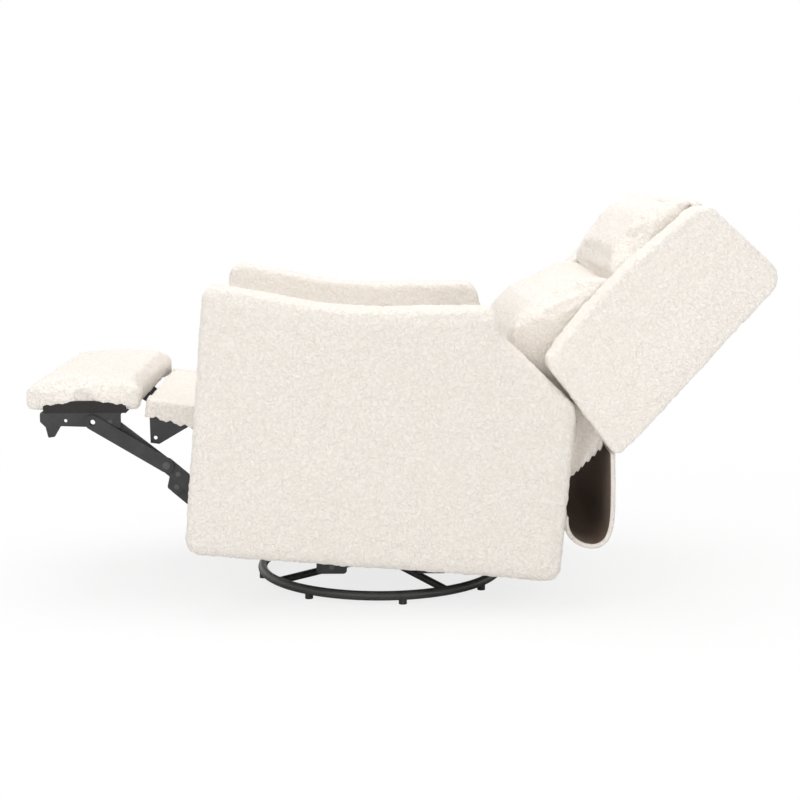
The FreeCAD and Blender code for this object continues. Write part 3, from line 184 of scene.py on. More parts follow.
class Wiring:
    """Adds nodes to a tree and links them by socket."""

    def __init__(self, tree):
        self.tree = tree

    def node(self, kind, **settings):
        made = self.tree.nodes.new(kind)
        for key, value in settings.items():
            setattr(made, key, value)
        return made

    def put(self, source, target):
        if isinstance(source, bpy.types.NodeSocket):
            self.tree.links.new(source, target)
        else:
            target.default_value = source

    def maths(self, operation, first, second=0.0, clamp=False):
        made = self.node("ShaderNodeMath", operation=operation, use_clamp=clamp)
        self.put(first, made.inputs[0])
        self.put(second, made.inputs[1])
        return made.outputs[0]

    def noise(self, vector, scale, detail=2.0, rough=0.5):
        made = self.node("ShaderNodeTexNoise")
        self.put(vector, made.inputs["Vector"])
        self.put(scale, made.inputs["Scale"])
        made.inputs["Detail"].default_value = detail
        made.inputs["Roughness"].default_value = rough
        return made

    def cells(self, vector, scale, feature="F1"):
        made = self.node("ShaderNodeTexVoronoi", feature=feature)
        self.put(vector, made.inputs["Vector"])
        self.put(scale, made.inputs["Scale"])
        return made

    def blend(self, share, first, second, kind="RGBA"):
        made = self.node("ShaderNodeMix", data_type=kind)
        slots = {"RGBA": (6, 7, 2), "FLOAT": (2, 3, 0)}[kind]
        self.put(share, made.inputs[0])
        self.put(first, made.inputs[slots[0]])
        self.put(second, made.inputs[slots[1]])
        return made.outputs[slots[2]]

    def spread(self, value, low, high):
        made = self.node("ShaderNodeMapRange")
        self.put(value, made.inputs["Value"])
        made.inputs["From Min"].default_value = low
        made.inputs["From Max"].default_value = high
        return made.outputs["Result"]


def pile_group():
    """Curls of a looped pile: how high the yarn stands, and a share of painted light that sinks to painted
    shade where a point lies deep between curls.
    """
    group, given, result = new_group(
        "curly pile", [("Vector", "NodeSocketVector", None), ("Curls", "NodeSocketFloat", 120.0)],
        [("Height", "NodeSocketFloat"), ("Painted light", "NodeSocketFloat")])
    wire = Wiring(group)
    vector, curls = given.outputs["Vector"], given.outputs["Curls"]
    drift_scale, drift_reach = 0.7, 1.5
    knot_scale, loop_rings, yarn_scale = 2.3, 16.0, 5.0
    hump_share, knot_share, loop_share, yarn_share = 0.55, 0.3, 0.06, 0.12
    lowest_tone, highest_tone = 0.28, 0.72
    drift = wire.noise(vector, wire.maths("MULTIPLY", curls, drift_scale))
    offset = wire.node("ShaderNodeVectorMath", operation="SUBTRACT")
    wire.put(drift.outputs["Color"], offset.inputs[0])
    offset.inputs[1].default_value = (0.5, 0.5, 0.5)
    scaled = wire.node("ShaderNodeVectorMath", operation="SCALE")
    wire.put(offset.outputs[0], scaled.inputs[0])
    wire.put(wire.maths("DIVIDE", drift_reach, curls), scaled.inputs["Scale"])
    bent = wire.node("ShaderNodeVectorMath", operation="ADD")
    wire.put(vector, bent.inputs[0])
    wire.put(scaled.outputs[0], bent.inputs[1])
    large = wire.cells(bent.outputs[0], curls)
    small = wire.cells(bent.outputs[0], wire.maths("MULTIPLY", curls, knot_scale))
    hump = wire.maths("SUBTRACT", 1.0, large.outputs["Distance"], True)
    knot = wire.maths("SUBTRACT", 1.0, small.outputs["Distance"], True)
    loop = wire.maths("SINE", wire.maths("MULTIPLY", large.outputs["Distance"], loop_rings))
    yarn = wire.noise(bent.outputs[0], wire.maths("MULTIPLY", curls, yarn_scale))
    height = wire.maths("MULTIPLY", hump, hump_share)
    for layer, share in ((knot, knot_share), (loop, loop_share), (yarn.outputs["Fac"], yarn_share)):
        height = wire.maths("ADD", height, wire.maths("MULTIPLY", layer, share))
    wire.put(height, result.inputs["Height"])
    # Painted light on the curls' tips and painted shade in the hollows between them, spread from the yarn's
    # height
    wire.put(wire.spread(height, lowest_tone, highest_tone), result.inputs["Painted light"])
    return group


def wear_group():
    """Soft dust and faint scuffs that break up a painted or plated surface."""
    group, given, result = new_group(
        "dust and scuffs", [("Vector", "NodeSocketVector", None), ("Size", "NodeSocketFloat", 30.0)],
        [("Dust", "NodeSocketFloat"), ("Scuff", "NodeSocketFloat"), ("Grain", "NodeSocketFloat")])
    wire = Wiring(group)
    vector, size = given.outputs["Vector"], given.outputs["Size"]
    scratch_scale, grain_scale, across = 8.0, 40.0, 5.0
    dust_range, scuff_range = (0.42, 0.75), (0.62, 0.7)
    cloud = wire.noise(vector, size, 4.0, 0.6)
    stretch = wire.node("ShaderNodeMapping")
    wire.put(vector, stretch.inputs["Vector"])
    stretch.inputs["Scale"].default_value = (1.0, across, 1.0)
    scratch = wire.noise(stretch.outputs[0], wire.maths("MULTIPLY", size, scratch_scale), 3.0)
    grain = wire.noise(vector, wire.maths("MULTIPLY", size, grain_scale))
    wire.put(wire.spread(cloud.outputs["Fac"], *dust_range), result.inputs["Dust"])
    wire.put(wire.spread(scratch.outputs["Fac"], *scuff_range), result.inputs["Scuff"])
    wire.put(grain.outputs["Fac"], result.inputs["Grain"])
    return group


def new_material(name):
    """A material with its Principled shader and object coordinates."""
    material = bpy.data.materials.new(name)
    material.use_nodes = True
    wire = Wiring(material.node_tree)
    shader = material.node_tree.nodes["Principled BSDF"]
    place = wire.node("ShaderNodeTexCoord").outputs["Object"]
    return material, wire, shader, place


def use_group(wire, group, place, **values):
    """A group's outputs, with the group at the given coordinates."""
    made = wire.node("ShaderNodeGroup", node_tree=group)
    wire.put(place, made.inputs["Vector"])
    for name, value in values.items():
        wire.put(value, made.inputs[name])
    return made.outputs


def bump(wire, shader, height, distance, strength=1.0):
    """Turns a height into relief, with the distance in metres."""
    made = wire.node("ShaderNodeBump")
    made.inputs["Distance"].default_value = distance
    made.inputs["Strength"].default_value = strength
    wire.put(height, made.inputs["Height"])
    wire.put(made.outputs[0], shader.inputs["Normal"])


def colour(value):
    return (value[0], value[1], value[2], 1.0)


def pile_material(name, group, tip, root, curl, relief, sheen=0.18):
    """A curly pile, lighter at its tips with painted light, darker between its curls with painted shade, and
    lighter in soft patches.
    """
    patch_scale, patch_share = 9.0, 0.25
    material, wire, shader, place = new_material(name)
    curls = use_group(wire, group, place, Curls=1.0 / curl)
    patch = wire.maths("SUBTRACT", wire.noise(place, patch_scale, 3.0).outputs["Fac"], 0.5)
    # The tone mixes the curls' painted light and shade with soft random patches of the pile's own colour
    tone = wire.maths("ADD", curls["Painted light"], wire.maths("MULTIPLY", patch, patch_share), True)
    wire.put(wire.blend(tone, colour(root), colour(tip)), shader.inputs["Base Color"])
    shader.inputs["Roughness"].default_value = 0.95
    shader.inputs["Specular IOR Level"].default_value = 0.12
    shader.inputs["Sheen Weight"].default_value = sheen
    shader.inputs["Sheen Roughness"].default_value = 0.6
    bump(wire, shader, curls["Height"], relief)
    return material


def paint_material(name, group, base, rough, dust_share, metal=0.0):
    """Paint, plastic or bare metal with dust and faint scuffs."""
    scuff_share, dust_rough = 0.12, 0.16
    material, wire, shader, place = new_material(name)
    wear = use_group(wire, group, place, Size=26.0)
    dusty = tuple(min(1.0, channel * 0.7 + 0.05) for channel in base)
    rubbed = tuple(channel * 1.6 + 0.03 for channel in base)
    share = wire.maths("MULTIPLY", wear["Dust"], dust_share)
    tinted = wire.blend(share, colour(base), colour(dusty))
    scuffed = wire.blend(wire.maths("MULTIPLY", wear["Scuff"], scuff_share), tinted, colour(rubbed))
    wire.put(scuffed, shader.inputs["Base Color"])
    rougher = wire.maths("ADD", rough, wire.maths("MULTIPLY", wear["Dust"], dust_rough), True)
    wire.put(rougher, shader.inputs["Roughness"])
    shader.inputs["Metallic"].default_value = metal
    bump(wire, shader, wear["Grain"], 0.00025, 0.5)
    return material


def timber_material(name, group, light, dark):
    """Sawn timber with bands of grain."""
    band_share, dust_share, least_rough, band_rough = 0.7, 0.25, 0.55, 0.2
    material, wire, shader, place = new_material(name)
    bands = wire.node("ShaderNodeTexWave", wave_type="BANDS", bands_direction="Z")
    wire.put(place, bands.inputs["Vector"])
    for socket, value in (("Scale", 22.0), ("Distortion", 7.0), ("Detail", 3.0), ("Detail Scale", 1.6)):
        bands.inputs[socket].default_value = value
    band = bands.outputs["Fac"]
    wear = use_group(wire, group, place, Size=60.0)
    share = wire.maths("MULTIPLY", band, band_share)
    share = wire.maths("ADD", share, wire.maths("MULTIPLY", wear["Dust"], dust_share), True)
    wire.put(wire.blend(share, colour(light), colour(dark)), shader.inputs["Base Color"])
    rough = wire.maths("ADD", least_rough, wire.maths("MULTIPLY", band, band_rough))
    wire.put(rough, shader.inputs["Roughness"])
    bump(wire, shader, band, 0.0006, 0.5)
    return material


def foam_material(name, group, tone):
    """Foam or felt with fine pores."""
    pore_scale, pore_share, dust_share = 420.0, 0.5, 0.3
    material, wire, shader, place = new_material(name)
    pores = wire.cells(place, pore_scale).outputs["Distance"]
    wear = use_group(wire, group, place, Size=18.0)
    darker = tuple(channel * 0.8 for channel in tone)
    share = wire.maths("MULTIPLY", pores, pore_share)
    share = wire.maths("ADD", share, wire.maths("MULTIPLY", wear["Dust"], dust_share), True)
    wire.put(wire.blend(share, colour(tone), colour(darker)), shader.inputs["Base Color"])
    shader.inputs["Roughness"].default_value = 0.95
    bump(wire, shader, pores, 0.0012)
    return material


MATERIALS = {}


def material(name):
    """A finish by its plain name, made the first time that it is asked for."""
    if not MATERIALS:
        scene = bpy.context.scene
        pile, metal, timber = scene.recliner_pile, scene.recliner_metal, scene.recliner_timber
        curls, wear = pile_group(), wear_group()

        def shade(tone, share):
            return tuple(channel * share for channel in tone)

        # Painted light: lit and shaded copies of one ivory pile. The arm and skirt piles are a slightly darker
        # copy with painted shade, and the wing pile is a lighter copy with painted light.
        shaded_tip = shade(pile.tip, 0.985)
        MATERIALS.update({
            "arm pile": pile_material("ivory_pile_arms", curls, shaded_tip, pile.root, pile.curl, pile.relief),
            "wing pile": pile_material(
                "ivory_pile_back", curls, shade(pile.tip, 1.03), shade(pile.root, 1.06), pile.curl,
                pile.relief),
            "cushion pile": pile_material(
                "ivory_pile_cushions", curls, pile.tip, pile.root, pile.curl * 1.1, pile.relief, 0.24),
            "skirt pile": pile_material("ivory_pile_skirt", curls, shaded_tip, pile.root, pile.curl, pile.relief),
            # The backing's lighter tips are painted light, as on the ivory pile.
            "backing": pile_material(
                "brown_backing", curls, shade(pile.backing, 1.5), pile.backing, pile.curl * 0.5, 0.0012, 0.1),
            "ring paint": paint_material("ring_paint", wear, metal.ring_paint, 0.34, 0.35),
            "black paint": paint_material("linkage_paint", wear, metal.black_paint, 0.42, 0.4),
            "pin steel": paint_material("pin_steel", wear, shade(metal.steel, 0.18), 0.36, 0.3, 0.9),
            "bright steel": paint_material("bright_steel", wear, metal.steel, 0.3, 0.25, 1.0),
            "foot plastic": paint_material("foot_plastic", wear, (0.03, 0.03, 0.03), 0.6, 0.5),
            "cage plastic": paint_material("cage_plastic", wear, (0.62, 0.56, 0.44), 0.5, 0.3),
            "timber": timber_material("rail_timber", wear, timber.light, timber.dark),
            "foam": foam_material("seat_foam", wear, (0.82, 0.74, 0.55)),
            "lining": foam_material("board_lining", wear, (0.030, 0.028, 0.026)),
        })
    return MATERIALS[name]


# Mesh helpers


def placed(name, data):
    """An object in the scene, at the origin."""
    item = bpy.data.objects.new(name, data)
    bpy.context.scene.collection.objects.link(item)
    return item


def show(bm, name):
    """An object at the origin from a bmesh."""
    mesh = bpy.data.meshes.new(name)
    bm.to_mesh(mesh)
    bm.free()
    return placed(name, mesh)


def settle(piece):
    """Puts the result of the piece's modifiers into its mesh."""
    graph = bpy.context.evaluated_depsgraph_get()
    mesh = bpy.data.meshes.new_from_object(piece.evaluated_get(graph))
    piece.modifiers.clear()
    piece.data = mesh
    return piece


def points_of(mesh):
    points = np.empty(len(mesh.vertices) * 3)
    mesh.vertices.foreach_get("co", points)
    return points.reshape(-1, 3)


def slab(outline, reaches, low, high, rims, place, segments=6):
    """A closed block from a side outline. reaches round its corners, and rims its two faces' edges."""
    bm = bmesh.new()
    bm.faces.new([bm.verts.new((x * MM, low * MM, z * MM)) for x, z in outline])
    made = bmesh.ops.extrude_face_region(bm, geom=list(bm.faces), use_keep_orig=True)
    moved = [item for item in made["geom"] if isinstance(item, bmesh.types.BMVert)]
    bmesh.ops.translate(bm, verts=moved, vec=(0, (high - low) * MM, 0))
    bmesh.ops.recalc_face_normals(bm, faces=bm.faces)
    for (x, z), reach in zip(outline, reaches):
        edges = [edge for edge in bm.edges
                 if abs(edge.verts[0].co.y - edge.verts[1].co.y) > MM
                 and abs(edge.verts[0].co.x - x * MM) < TOUCHING
                 and abs(edge.verts[0].co.z - z * MM) < TOUCHING]
        bmesh.ops.bevel(bm, geom=edges, offset=reach * MM, offset_type="OFFSET", affect="EDGES",
                        segments=segments, profile=0.5, material=-1)
    for level, rim in ((low, rims[0]), (high, rims[1])):
        edges = [edge for edge in bm.edges
                 if all(abs(vertex.co.y - level * MM) < TOUCHING for vertex in edge.verts)]
        bmesh.ops.bevel(bm, geom=edges, offset=rim * MM, offset_type="OFFSET", affect="EDGES",
                        segments=segments, profile=0.5, material=-1, clamp_overlap=True)
    bmesh.ops.transform(bm, matrix=place, verts=bm.verts)
    return bm


def even_skin(piece, grain):
    """Gives a piece an even skin of small faces."""
    remesh = piece.modifiers.new("Even skin", "REMESH")
    remesh.mode = "VOXEL"
    remesh.voxel_size = grain
    return settle(piece)


def relax(piece, rounds):
    """Evens a cover out, so that its edges grow softer."""
    smooth = piece.modifiers.new("Relax", "SMOOTH")
    smooth.factor = 0.5
    smooth.iterations = rounds
    return settle(piece)


def stuff(piece, pressure, most, frames=20):
    """Swells a cover with air, as its filling does, by no more than a set distance."""
    scene = bpy.context.scene
    before = points_of(piece.data)
    cloth = piece.modifiers.new("Stuffing", "CLOTH")
    cloth.settings.quality = 5
    cloth.settings.mass = 0.3
    cloth.settings.use_pressure = True
    cloth.settings.uniform_pressure_force = pressure
    cloth.settings.effector_weights.gravity = 0
    cloth.point_cache.frame_start = 1
    cloth.point_cache.frame_end = frames
    for number in range(1, frames + 1):
        scene.frame_set(number)
    settle(piece)
    scene.frame_set(1)
    move = points_of(piece.data) - before
    length = np.linalg.norm(move, axis=1, keepdims=True)
    move *= np.minimum(1.0, most / np.maximum(length, 1e-9))
    piece.data.vertices.foreach_set("co", (before + move).ravel())
    return piece


def press_line(piece, line, depth, width):
    """Presses a sewn seam into a cover along a line of points."""
    reach = width * 2.5
    tree = KDTree(len(line))
    for number, point in enumerate(line):
        tree.insert(point, number)
    tree.balance()
    for vertex in piece.data.vertices:
        distance = tree.find(vertex.co)[2]
        if distance < reach:
            vertex.co -= vertex.normal * depth * math.exp(-(distance / width) ** 2)


def dense_line(points, step=0.004, closed=False):
    """Points no further apart than a step, along straight runs."""
    line = []
    pairs = list(zip(points, points[1:])) + ([(points[-1], points[0])] if closed else [])
    for start, end in pairs:
        count = max(1, int((end - start).length / step))
        line += [start.lerp(end, number / count) for number in range(count)]
    return line + [points[-1]]


# Label, texture, size in metres and share of the lift
UNEVENNESS = (
    ("Tufts", "VORONOI_F1", 0.016, 1.0),
    ("Knots", "ORIGINAL_PERLIN", 0.009, 0.8),
    ("Filling", "BLENDER_ORIGINAL", 0.16, 1.3),
)


def tufted(piece, lift):
    """Uneven tufts, so that the pile shows at the edges too, and soft hollows in the filling."""
    for label, basis, size, share in UNEVENNESS:
        name = label.lower()
        texture = bpy.data.textures.get(name) or bpy.data.textures.new(name, "CLOUDS")
        texture.noise_basis = basis
        texture.noise_scale = size
        texture.noise_depth = 1
        displace = piece.modifiers.new(label, "DISPLACE")
        displace.texture = texture
        displace.texture_coords = "LOCAL"
        displace.mid_level = 0.5
        displace.strength = lift * share
    return settle(piece)


def finish_cover(piece, body, finish, nodes):
    """Gives a padded piece its finish, its body and the solids that it stands for."""
    piece.data.shade_smooth()
    piece.data.materials.clear()
    piece.data.materials.append(material(finish))
    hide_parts(*nodes)
    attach(piece, body)
    return piece


def mirror(bm):
    """Moves a block to the chair's other side."""
    bmesh.ops.scale(bm, vec=(1, -1, 1), verts=bm.verts)
    bmesh.ops.reverse_faces(bm, faces=bm.faces)


def mirrored_copy(piece, name):
    """The same cover for the chair's other side."""
    bm = bmesh.new()
    bm.from_mesh(piece.data)
    mirror(bm)
    return show(bm, name)


def flatten(piece, place, low):
    """Flattens a piece's underside, at a height in metres of its frame."""
    turn = place.inverted()
    for vertex in piece.data.vertices:
        local = turn @ vertex.co
        if local.z < low:
            local.z = low
            vertex.co = place @ local


def woven(name, columns):
    """A cloth through columns of points."""
    bm = bmesh.new()
    grid = [[bm.verts.new(point) for point in column] for column in columns]
    for first, second in zip(grid, grid[1:]):
        for row in range(len(first) - 1):
            bm.faces.new((first[row], first[row + 1], second[row + 1], second[row]))
    bmesh.ops.recalc_face_normals(bm, faces=bm.faces)
    return show(bm, name)


def thicken(cloth, thickness):
    """Gives a cloth its thickness, half to each side."""
    solid = cloth.modifiers.new("Cloth thickness", "SOLIDIFY")
    solid.thickness = thickness
    solid.offset = 0.0
    return solid


def paint_nodes(names, finish):
    """Gives the frame's own parts a finish."""
    for name in names:
        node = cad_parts[name]
        if not node.material_slots:
            node.data.materials.append(material(finish))
        for place in node.material_slots:
            place.material = material(finish)


# Pieces


class RECLINER_OT_arms(bpy.types.Operator):
    """Padded arm covers with their boxed front and top"""

    bl_idname = "recliner.arms"
    bl_label = "Arm covers"

    outline = [(-406, 100), (353, 100), (353, 461), (190, 588), (178, 646), (-120, 616), (-406, 647)]
    reaches = [30, 27, 18, 18, 34, 90, 33]
    seam = [(-389, 118), (-389, 628), (-120, 598), (162, 626), (174, 574), (336, 448), (336, 118)]
    outside, inside, seam_face = -379, -281, -380

    def execute(self, context):
        padding, pile = context.scene.recliner_padding, context.scene.recliner_pile
        bm = slab(self.outline, self.reaches, self.outside, self.inside, (26, 9), SEAT)
        arm = even_skin(show(bm, "arm_cover_left"), padding.grain)
        relax(arm, 6)
        line = dense_line([at(SEAT, x, self.seam_face, z) for x, z in self.seam])
        press_line(arm, line, padding.seam_depth * 0.6, padding.seam_width)
        tufted(arm, pile.lift)
        other = mirrored_copy(arm, "arm_cover_right")
        finish_cover(arm, "seat_body", "arm pile", ["arm_left"])
        finish_cover(other, "seat_body", "arm pile", ["arm_right"])
        return {"FINISHED"}


class RECLINER_OT_seat(bpy.types.Operator):
    """Seat cushion on its foam pad"""

    bl_idname = "recliner.seat"
    bl_label = "Seat cushion"

    outline = [(-332, 410), (216, 410), (216, 468), (-70, 486), (-348, 470)]
    reaches = [14, 12, 20, 60, 24]
    half = 264
    notch = [(100, 380), (260, 380), (260, 520), (100, 520)]
    notch_sides = (258, 300)
    seam_front, seam_half, seam_levels = -350, 262, (416, 462)
    foam_outline = [(-304, 371), (239, 371), (239, 397), (-304, 397)]
    foam_half, foam_grain = 215, 0.008
    foam_top = 0.3995

    def execute(self, context):
        padding, pile = context.scene.recliner_padding, context.scene.recliner_pile
        bm = slab(self.outline, self.reaches, -self.half, self.half, (18, 18), SEAT)
        cushion = even_skin(show(bm, "seat_cushion_cover"), padding.grain)
        stuff(cushion, padding.pressure, padding.swell * 0.8)
        relax(cushion, 4)
        for side in (-1, 1):
            box = slab(self.notch, [1] * 4, *self.notch_sides, (1, 1), SEAT, 1)
            if side < 0:
                mirror(box)
            cutter = show(box, "notch")
            cut = cushion.modifiers.new("Notch", "BOOLEAN")
            cut.object = cutter
            cut.operation = "DIFFERENCE"
            settle(cushion)
            bpy.data.objects.remove(cutter)
        even_skin(cushion, padding.grain)
        relax(cushion, 3)
        for level in self.seam_levels:
            line = dense_line([at(SEAT, self.seam_front, y, level) for y in (-self.seam_half, self.seam_half)])
            press_line(cushion, line, padding.seam_depth, padding.seam_width)
        tufted(cushion, pile.lift)
        flatten(cushion, SEAT, self.foam_top)
        finish_cover(cushion, "seat_body", "cushion pile", ["seat_cushion"])
        bm = slab(self.foam_outline, [5] * 4, -self.foam_half, self.foam_half, (5, 5), SEAT)
        foam = even_skin(show(bm, "seat_foam_pad"), self.foam_grain)
        finish_cover(foam, "seat_body", "foam", ["seat_pad"])
        return {"FINISHED"}


class RECLINER_OT_footrest(bpy.types.Operator):
    """Footrest pad and the flap behind it"""

    bl_idname = "recliner.footrest"
    bl_label = "Footrest pads"

    outline = [(-172, 27), (66, 27), (68, 72), (-50, 79), (-174, 71)]
    reaches = [11, 11, 14, 50, 17]
    half, underside = 274, 0.025
    seam = [(-177, -275), (72, -275), (72, 275), (-177, 275), (-177, -275)]
    seam_level = 52
    flap_outline = [(-192, -9), (8, -9), (8, 8), (-192, 8)]
    flap_half = 213

    def execute(self, context):
        padding, pile = context.scene.recliner_padding, context.scene.recliner_pile
        bm = slab(self.outline, self.reaches, -self.half, self.half, (12, 12), FOOTREST)
        pad = even_skin(show(bm, "footrest_cover"), padding.grain * 0.9)
        stuff(pad, padding.pressure, padding.swell * 0.5)
        relax(pad, 4)
        flatten(pad, FOOTREST, self.underside)
        line = dense_line([at(FOOTREST, x, y, self.seam_level) for x, y in self.seam])
        press_line(pad, line, padding.seam_depth, padding.seam_width)
        tufted(pad, pile.lift * 0.9)
        flatten(pad, FOOTREST, self.underside)
        finish_cover(pad, "footrest", "cushion pile", ["footrest_pad"])

        bm = slab(self.flap_outline, [8] * 4, -self.flap_half, self.flap_half, (7, 7), FLAP)
        flap = even_skin(show(bm, "flap_cover"), padding.grain * 0.8)
        relax(flap, 3)
        tufted(flap, pile.lift * 0.8)
        finish_cover(flap, "flap", "cushion pile", ["flap_pad"])
        for side, label in ((-1, "left"), (1, "right")):
            self.side_cloth("flap_side_" + label, side)
        return {"FINISHED"}

    def side_cloth(self, name, side):
        """Cloth that is sewn to the flap's top, lies over the bracket and hangs down outside it."""
        columns, rows, lying = 44, 20, 7
        front, length, edge, hanging = -190, 196, 203, 248
        grid = []
        for column in range(columns + 1):
            share = column / columns
            drop = 30 + 26 * share + 2.5 * math.sin(share * 39.0) + 1.5 * math.sin(share * 83.0 + 1.0)
            line = []
            for row in range(rows + 1):
                if row < lying:
                    run = row / lying
                    out, level = edge + 43 * run, 8.5 - 3.0 * run * run
                else:
                    run = (row - lying) / (rows - lying)
                    out, level = hanging + 0.9 * math.sin(share * 9.0 + run * 2.0) * run, 4.0 - drop * run
                line.append(at(FLAP, front + length * share, side * out, level))
            grid.append(line)
        cloth = woven(name, grid)
        thicken(cloth, 0.003)
        cloth.data.shade_smooth()
        cloth.data.materials.append(material("cushion pile"))
        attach(cloth, "flap")


class RECLINER_OT_back(bpy.types.Operator):
    """Side wings, rear cover, lumbar cushion and head pillow"""

    bl_idname = "recliner.back"
    bl_label = "Back covers"

    wing = [(238, 184), (236, 674), (14, 672), (-10, 470), (-8, 300), (1, 228), (100, 211)]
    lumbar = [(150, 184), (150, 442), (-10, 446), (-92, 262), (-80, 212), (-30, 170)]
    pillow = [(150, 447), (150, 655), (20, 655), (13, 668), (-10, 655), (-33, 596), (-16, 447)]
    shell = [(206.5, 187), (238, 187), (236, 674), (18, 674), (18, 659), (206.5, 659)]
    wing_seam = [(222, 198), (220, 656), (30, 656), (8, 470), (10, 300), (17, 247), (100, 233)]
    outside, inside, seam_face = -374, -284, -375
    shell_half = 283

    def execute(self, context):
        padding, pile = context.scene.recliner_padding, context.scene.recliner_pile
        bm = slab(self.wing, [22, 40, 28, 60, 60, 26, 60], self.outside, self.inside, (26, 6), BACK)
        wing = even_skin(show(bm, "wing_cover_left"), padding.grain)
        relax(wing, 8)
        line = dense_line([at(BACK, x, self.seam_face, z) for x, z in self.wing_seam], closed=True)
        press_line(wing, line, padding.seam_depth * 0.5, padding.seam_width)
        tufted(wing, pile.lift)
        other = mirrored_copy(wing, "wing_cover_right")
        finish_cover(wing, "back", "wing pile", ["back_wing_left"])
        finish_cover(other, "back", "wing pile", ["back_wing_right"])

        bm = slab(self.shell, [3, 14, 46, 5, 2, 2], -self.shell_half, self.shell_half, (3, 3), BACK)
        shell = even_skin(show(bm, "rear_cover"), padding.grain)
        tufted(shell, pile.lift * 0.8)
        finish_cover(shell, "back", "wing pile", ["back_shell"])

        # Name, solid, outline, corners' reaches, half width in millimetres, and the widest half that is
        # left after tufting, in metres, so that the cushion runs clear of the arms
        for name, node, corners, reaches, half, widest in (
                ("lumbar_cover", "lumbar_cushion", self.lumbar, [10, 10, 14, 30, 26, 22], 273, 0.2755),
                ("pillow_cover", "head_pillow", self.pillow, [8, 4, 2, 8, 14, 30, 14], 276, 0.280)):
            bm = slab(corners, reaches, -half, half, (14, 14), BACK)
            piece = even_skin(show(bm, name), padding.grain)
            stuff(piece, padding.pressure, padding.swell * 0.5)
            relax(piece, 6)
            tufted(piece, pile.lift)
            for vertex in piece.data.vertices:
                vertex.co.y = max(-widest, min(widest, vertex.co.y))
            finish_cover(piece, "back", "cushion pile", [node])
        return {"FINISHED"}


class RECLINER_OT_skirt(bpy.types.Operator):
    """Slack cloth between the back and the seat body"""

    bl_idname = "recliner.skirt"
    bl_label = "Rear skirt"

    route = [(438, 366), (446, 300), (453, 208), (434, 172), (392, 171), (358, 198), (356.5, 228)]
    half = 328
    steps = 110
    gusset_top = [(346, 462), (364, 462), (392, 430), (418, 398)]
    gusset_foot = [(346, 268), (359, 304), (384, 336), (418, 374)]
    gusset_out = 306

    def execute(self, context):
        curve = bpy.data.curves.new("skirt_route", "CURVE")
        curve.dimensions = "3D"
        spline = curve.splines.new("NURBS")
        spline.points.add(len(self.route) - 1)
        for point, (u, w) in zip(spline.points, self.route):
            point.co = (*at(SEAT, u, -self.half, w), 1.0)
        spline.order_u = 3
        spline.use_endpoint_u = True
        spline.resolution_u = 12
        holder = placed("skirt_route", curve)
        mesh = bpy.data.meshes.new_from_object(holder)
        bpy.data.objects.remove(holder)
        bm = bmesh.new()
        bm.from_mesh(mesh)
        edges = list(bm.edges)
        for _ in range(self.steps):
            made = bmesh.ops.extrude_edge_only(bm, edges=edges)
            verts = [item for item in made["geom"] if isinstance(item, bmesh.types.BMVert)]
            edges = [item for item in made["geom"] if isinstance(item, bmesh.types.BMEdge)]
            bmesh.ops.translate(bm, verts=verts, vec=(0, 2 * self.half * MM / self.steps, 0))
        bmesh.ops.recalc_face_normals(bm, faces=bm.faces)
        if sum(face.normal.x for face in bm.faces) < 0:
            bmesh.ops.reverse_faces(bm, faces=bm.faces)
        skirt = show(bm, "skirt_cloth")
        skirt.data.materials.append(material("skirt pile"))
        skirt.data.materials.append(material("backing"))
        skirt.data.shade_smooth()
        thicken(skirt, 0.0095).material_offset = 1
        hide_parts("rear_skirt")
        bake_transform(skirt)
        for side, label in ((-1, "left"), (1, "right")):
            self.gusset(label, side)
        return {"FINISHED"}

    def gusset(self, label, side):
        """The cloth that closes the corner behind an arm, under the back."""
        columns, rows = 30, 20
        runs = len(self.gusset_top) - 1
        grid = []
        for column in range(columns + 1):
            run = column / columns * runs
            part = min(int(run), runs - 1)
            share = run - part
            high, foot = (
                [first + (second - first) * share for first, second in zip(edge[part], edge[part + 1])]
                for edge in (self.gusset_top, self.gusset_foot))
            foot[1] += 3.0 * math.sin(column * 1.9) + 2.0 * math.sin(column * 4.3)
            line = []
            for row in range(rows + 1):
                drop = row / rows
                fold = 5.0 * math.sin(column / columns * 8.0 + drop * 2.5)
                line.append(at(SEAT, high[0] + (foot[0] - high[0]) * drop, side * (self.gusset_out + fold),
                               high[1] + (foot[1] - high[1]) * drop))
            grid.append(line)
        cloth = woven("gusset_" + label, grid)
        cloth.data.shade_smooth()
        cloth.data.materials.append(material("skirt pile"))
        thicken(cloth, 0.004)
        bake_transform(cloth)


class RECLINER_OT_metalwork(bpy.types.Operator):
    """Paint, steel, timber and plastic on the frame's own parts"""

    bl_idname = "recliner.metalwork"
    bl_label = "Frame finishes"

    def execute(self, context):
        paint_nodes(["floor_ring", "ring_spokes", "ring_hub"], "ring paint")
        paint_nodes(["ring_feet"], "foot plastic")
        paint_nodes([
            "swivel_plate", "stand_crossbars", "stand_sides", "front_glide_links", "rear_glide_links",
            "carriage_sides", "carriage_tubes", "tilt_stops", "tilt_brackets", "mechanism_plates",
            "mechanism_tubes", "footrest_main_links", "footrest_guide_links", "footrest_lift_links",
            "footrest_control_links", "footrest_brackets", "flap_hinge", "flap_brackets", "back_brackets",
        ], "black paint")
        paint_nodes(["stand_pins", "carriage_pins", "tilt_pins", "mechanism_pins", "recline_pins", "knee_pins",
                     "guide_end_pins", "footrest_pins"], "pin steel")
        paint_nodes(["swivel_spindle", "lower_bearing_race", "upper_bearing_race", "bearing_balls",
                     "spindle_nut", "seat_springs", "back_springs"], "bright steel")
        paint_nodes(["bearing_cage"], "cage plastic")
        paint_nodes(["seat_end_rails", "seat_side_rails", "seat_cross_rails", "back_posts",
                     "back_rails"], "timber")
        paint_nodes(["arm_boards", "rear_panel"], "skirt pile")
        paint_nodes(["footrest_board"], "lining")
        return {"FINISHED"}


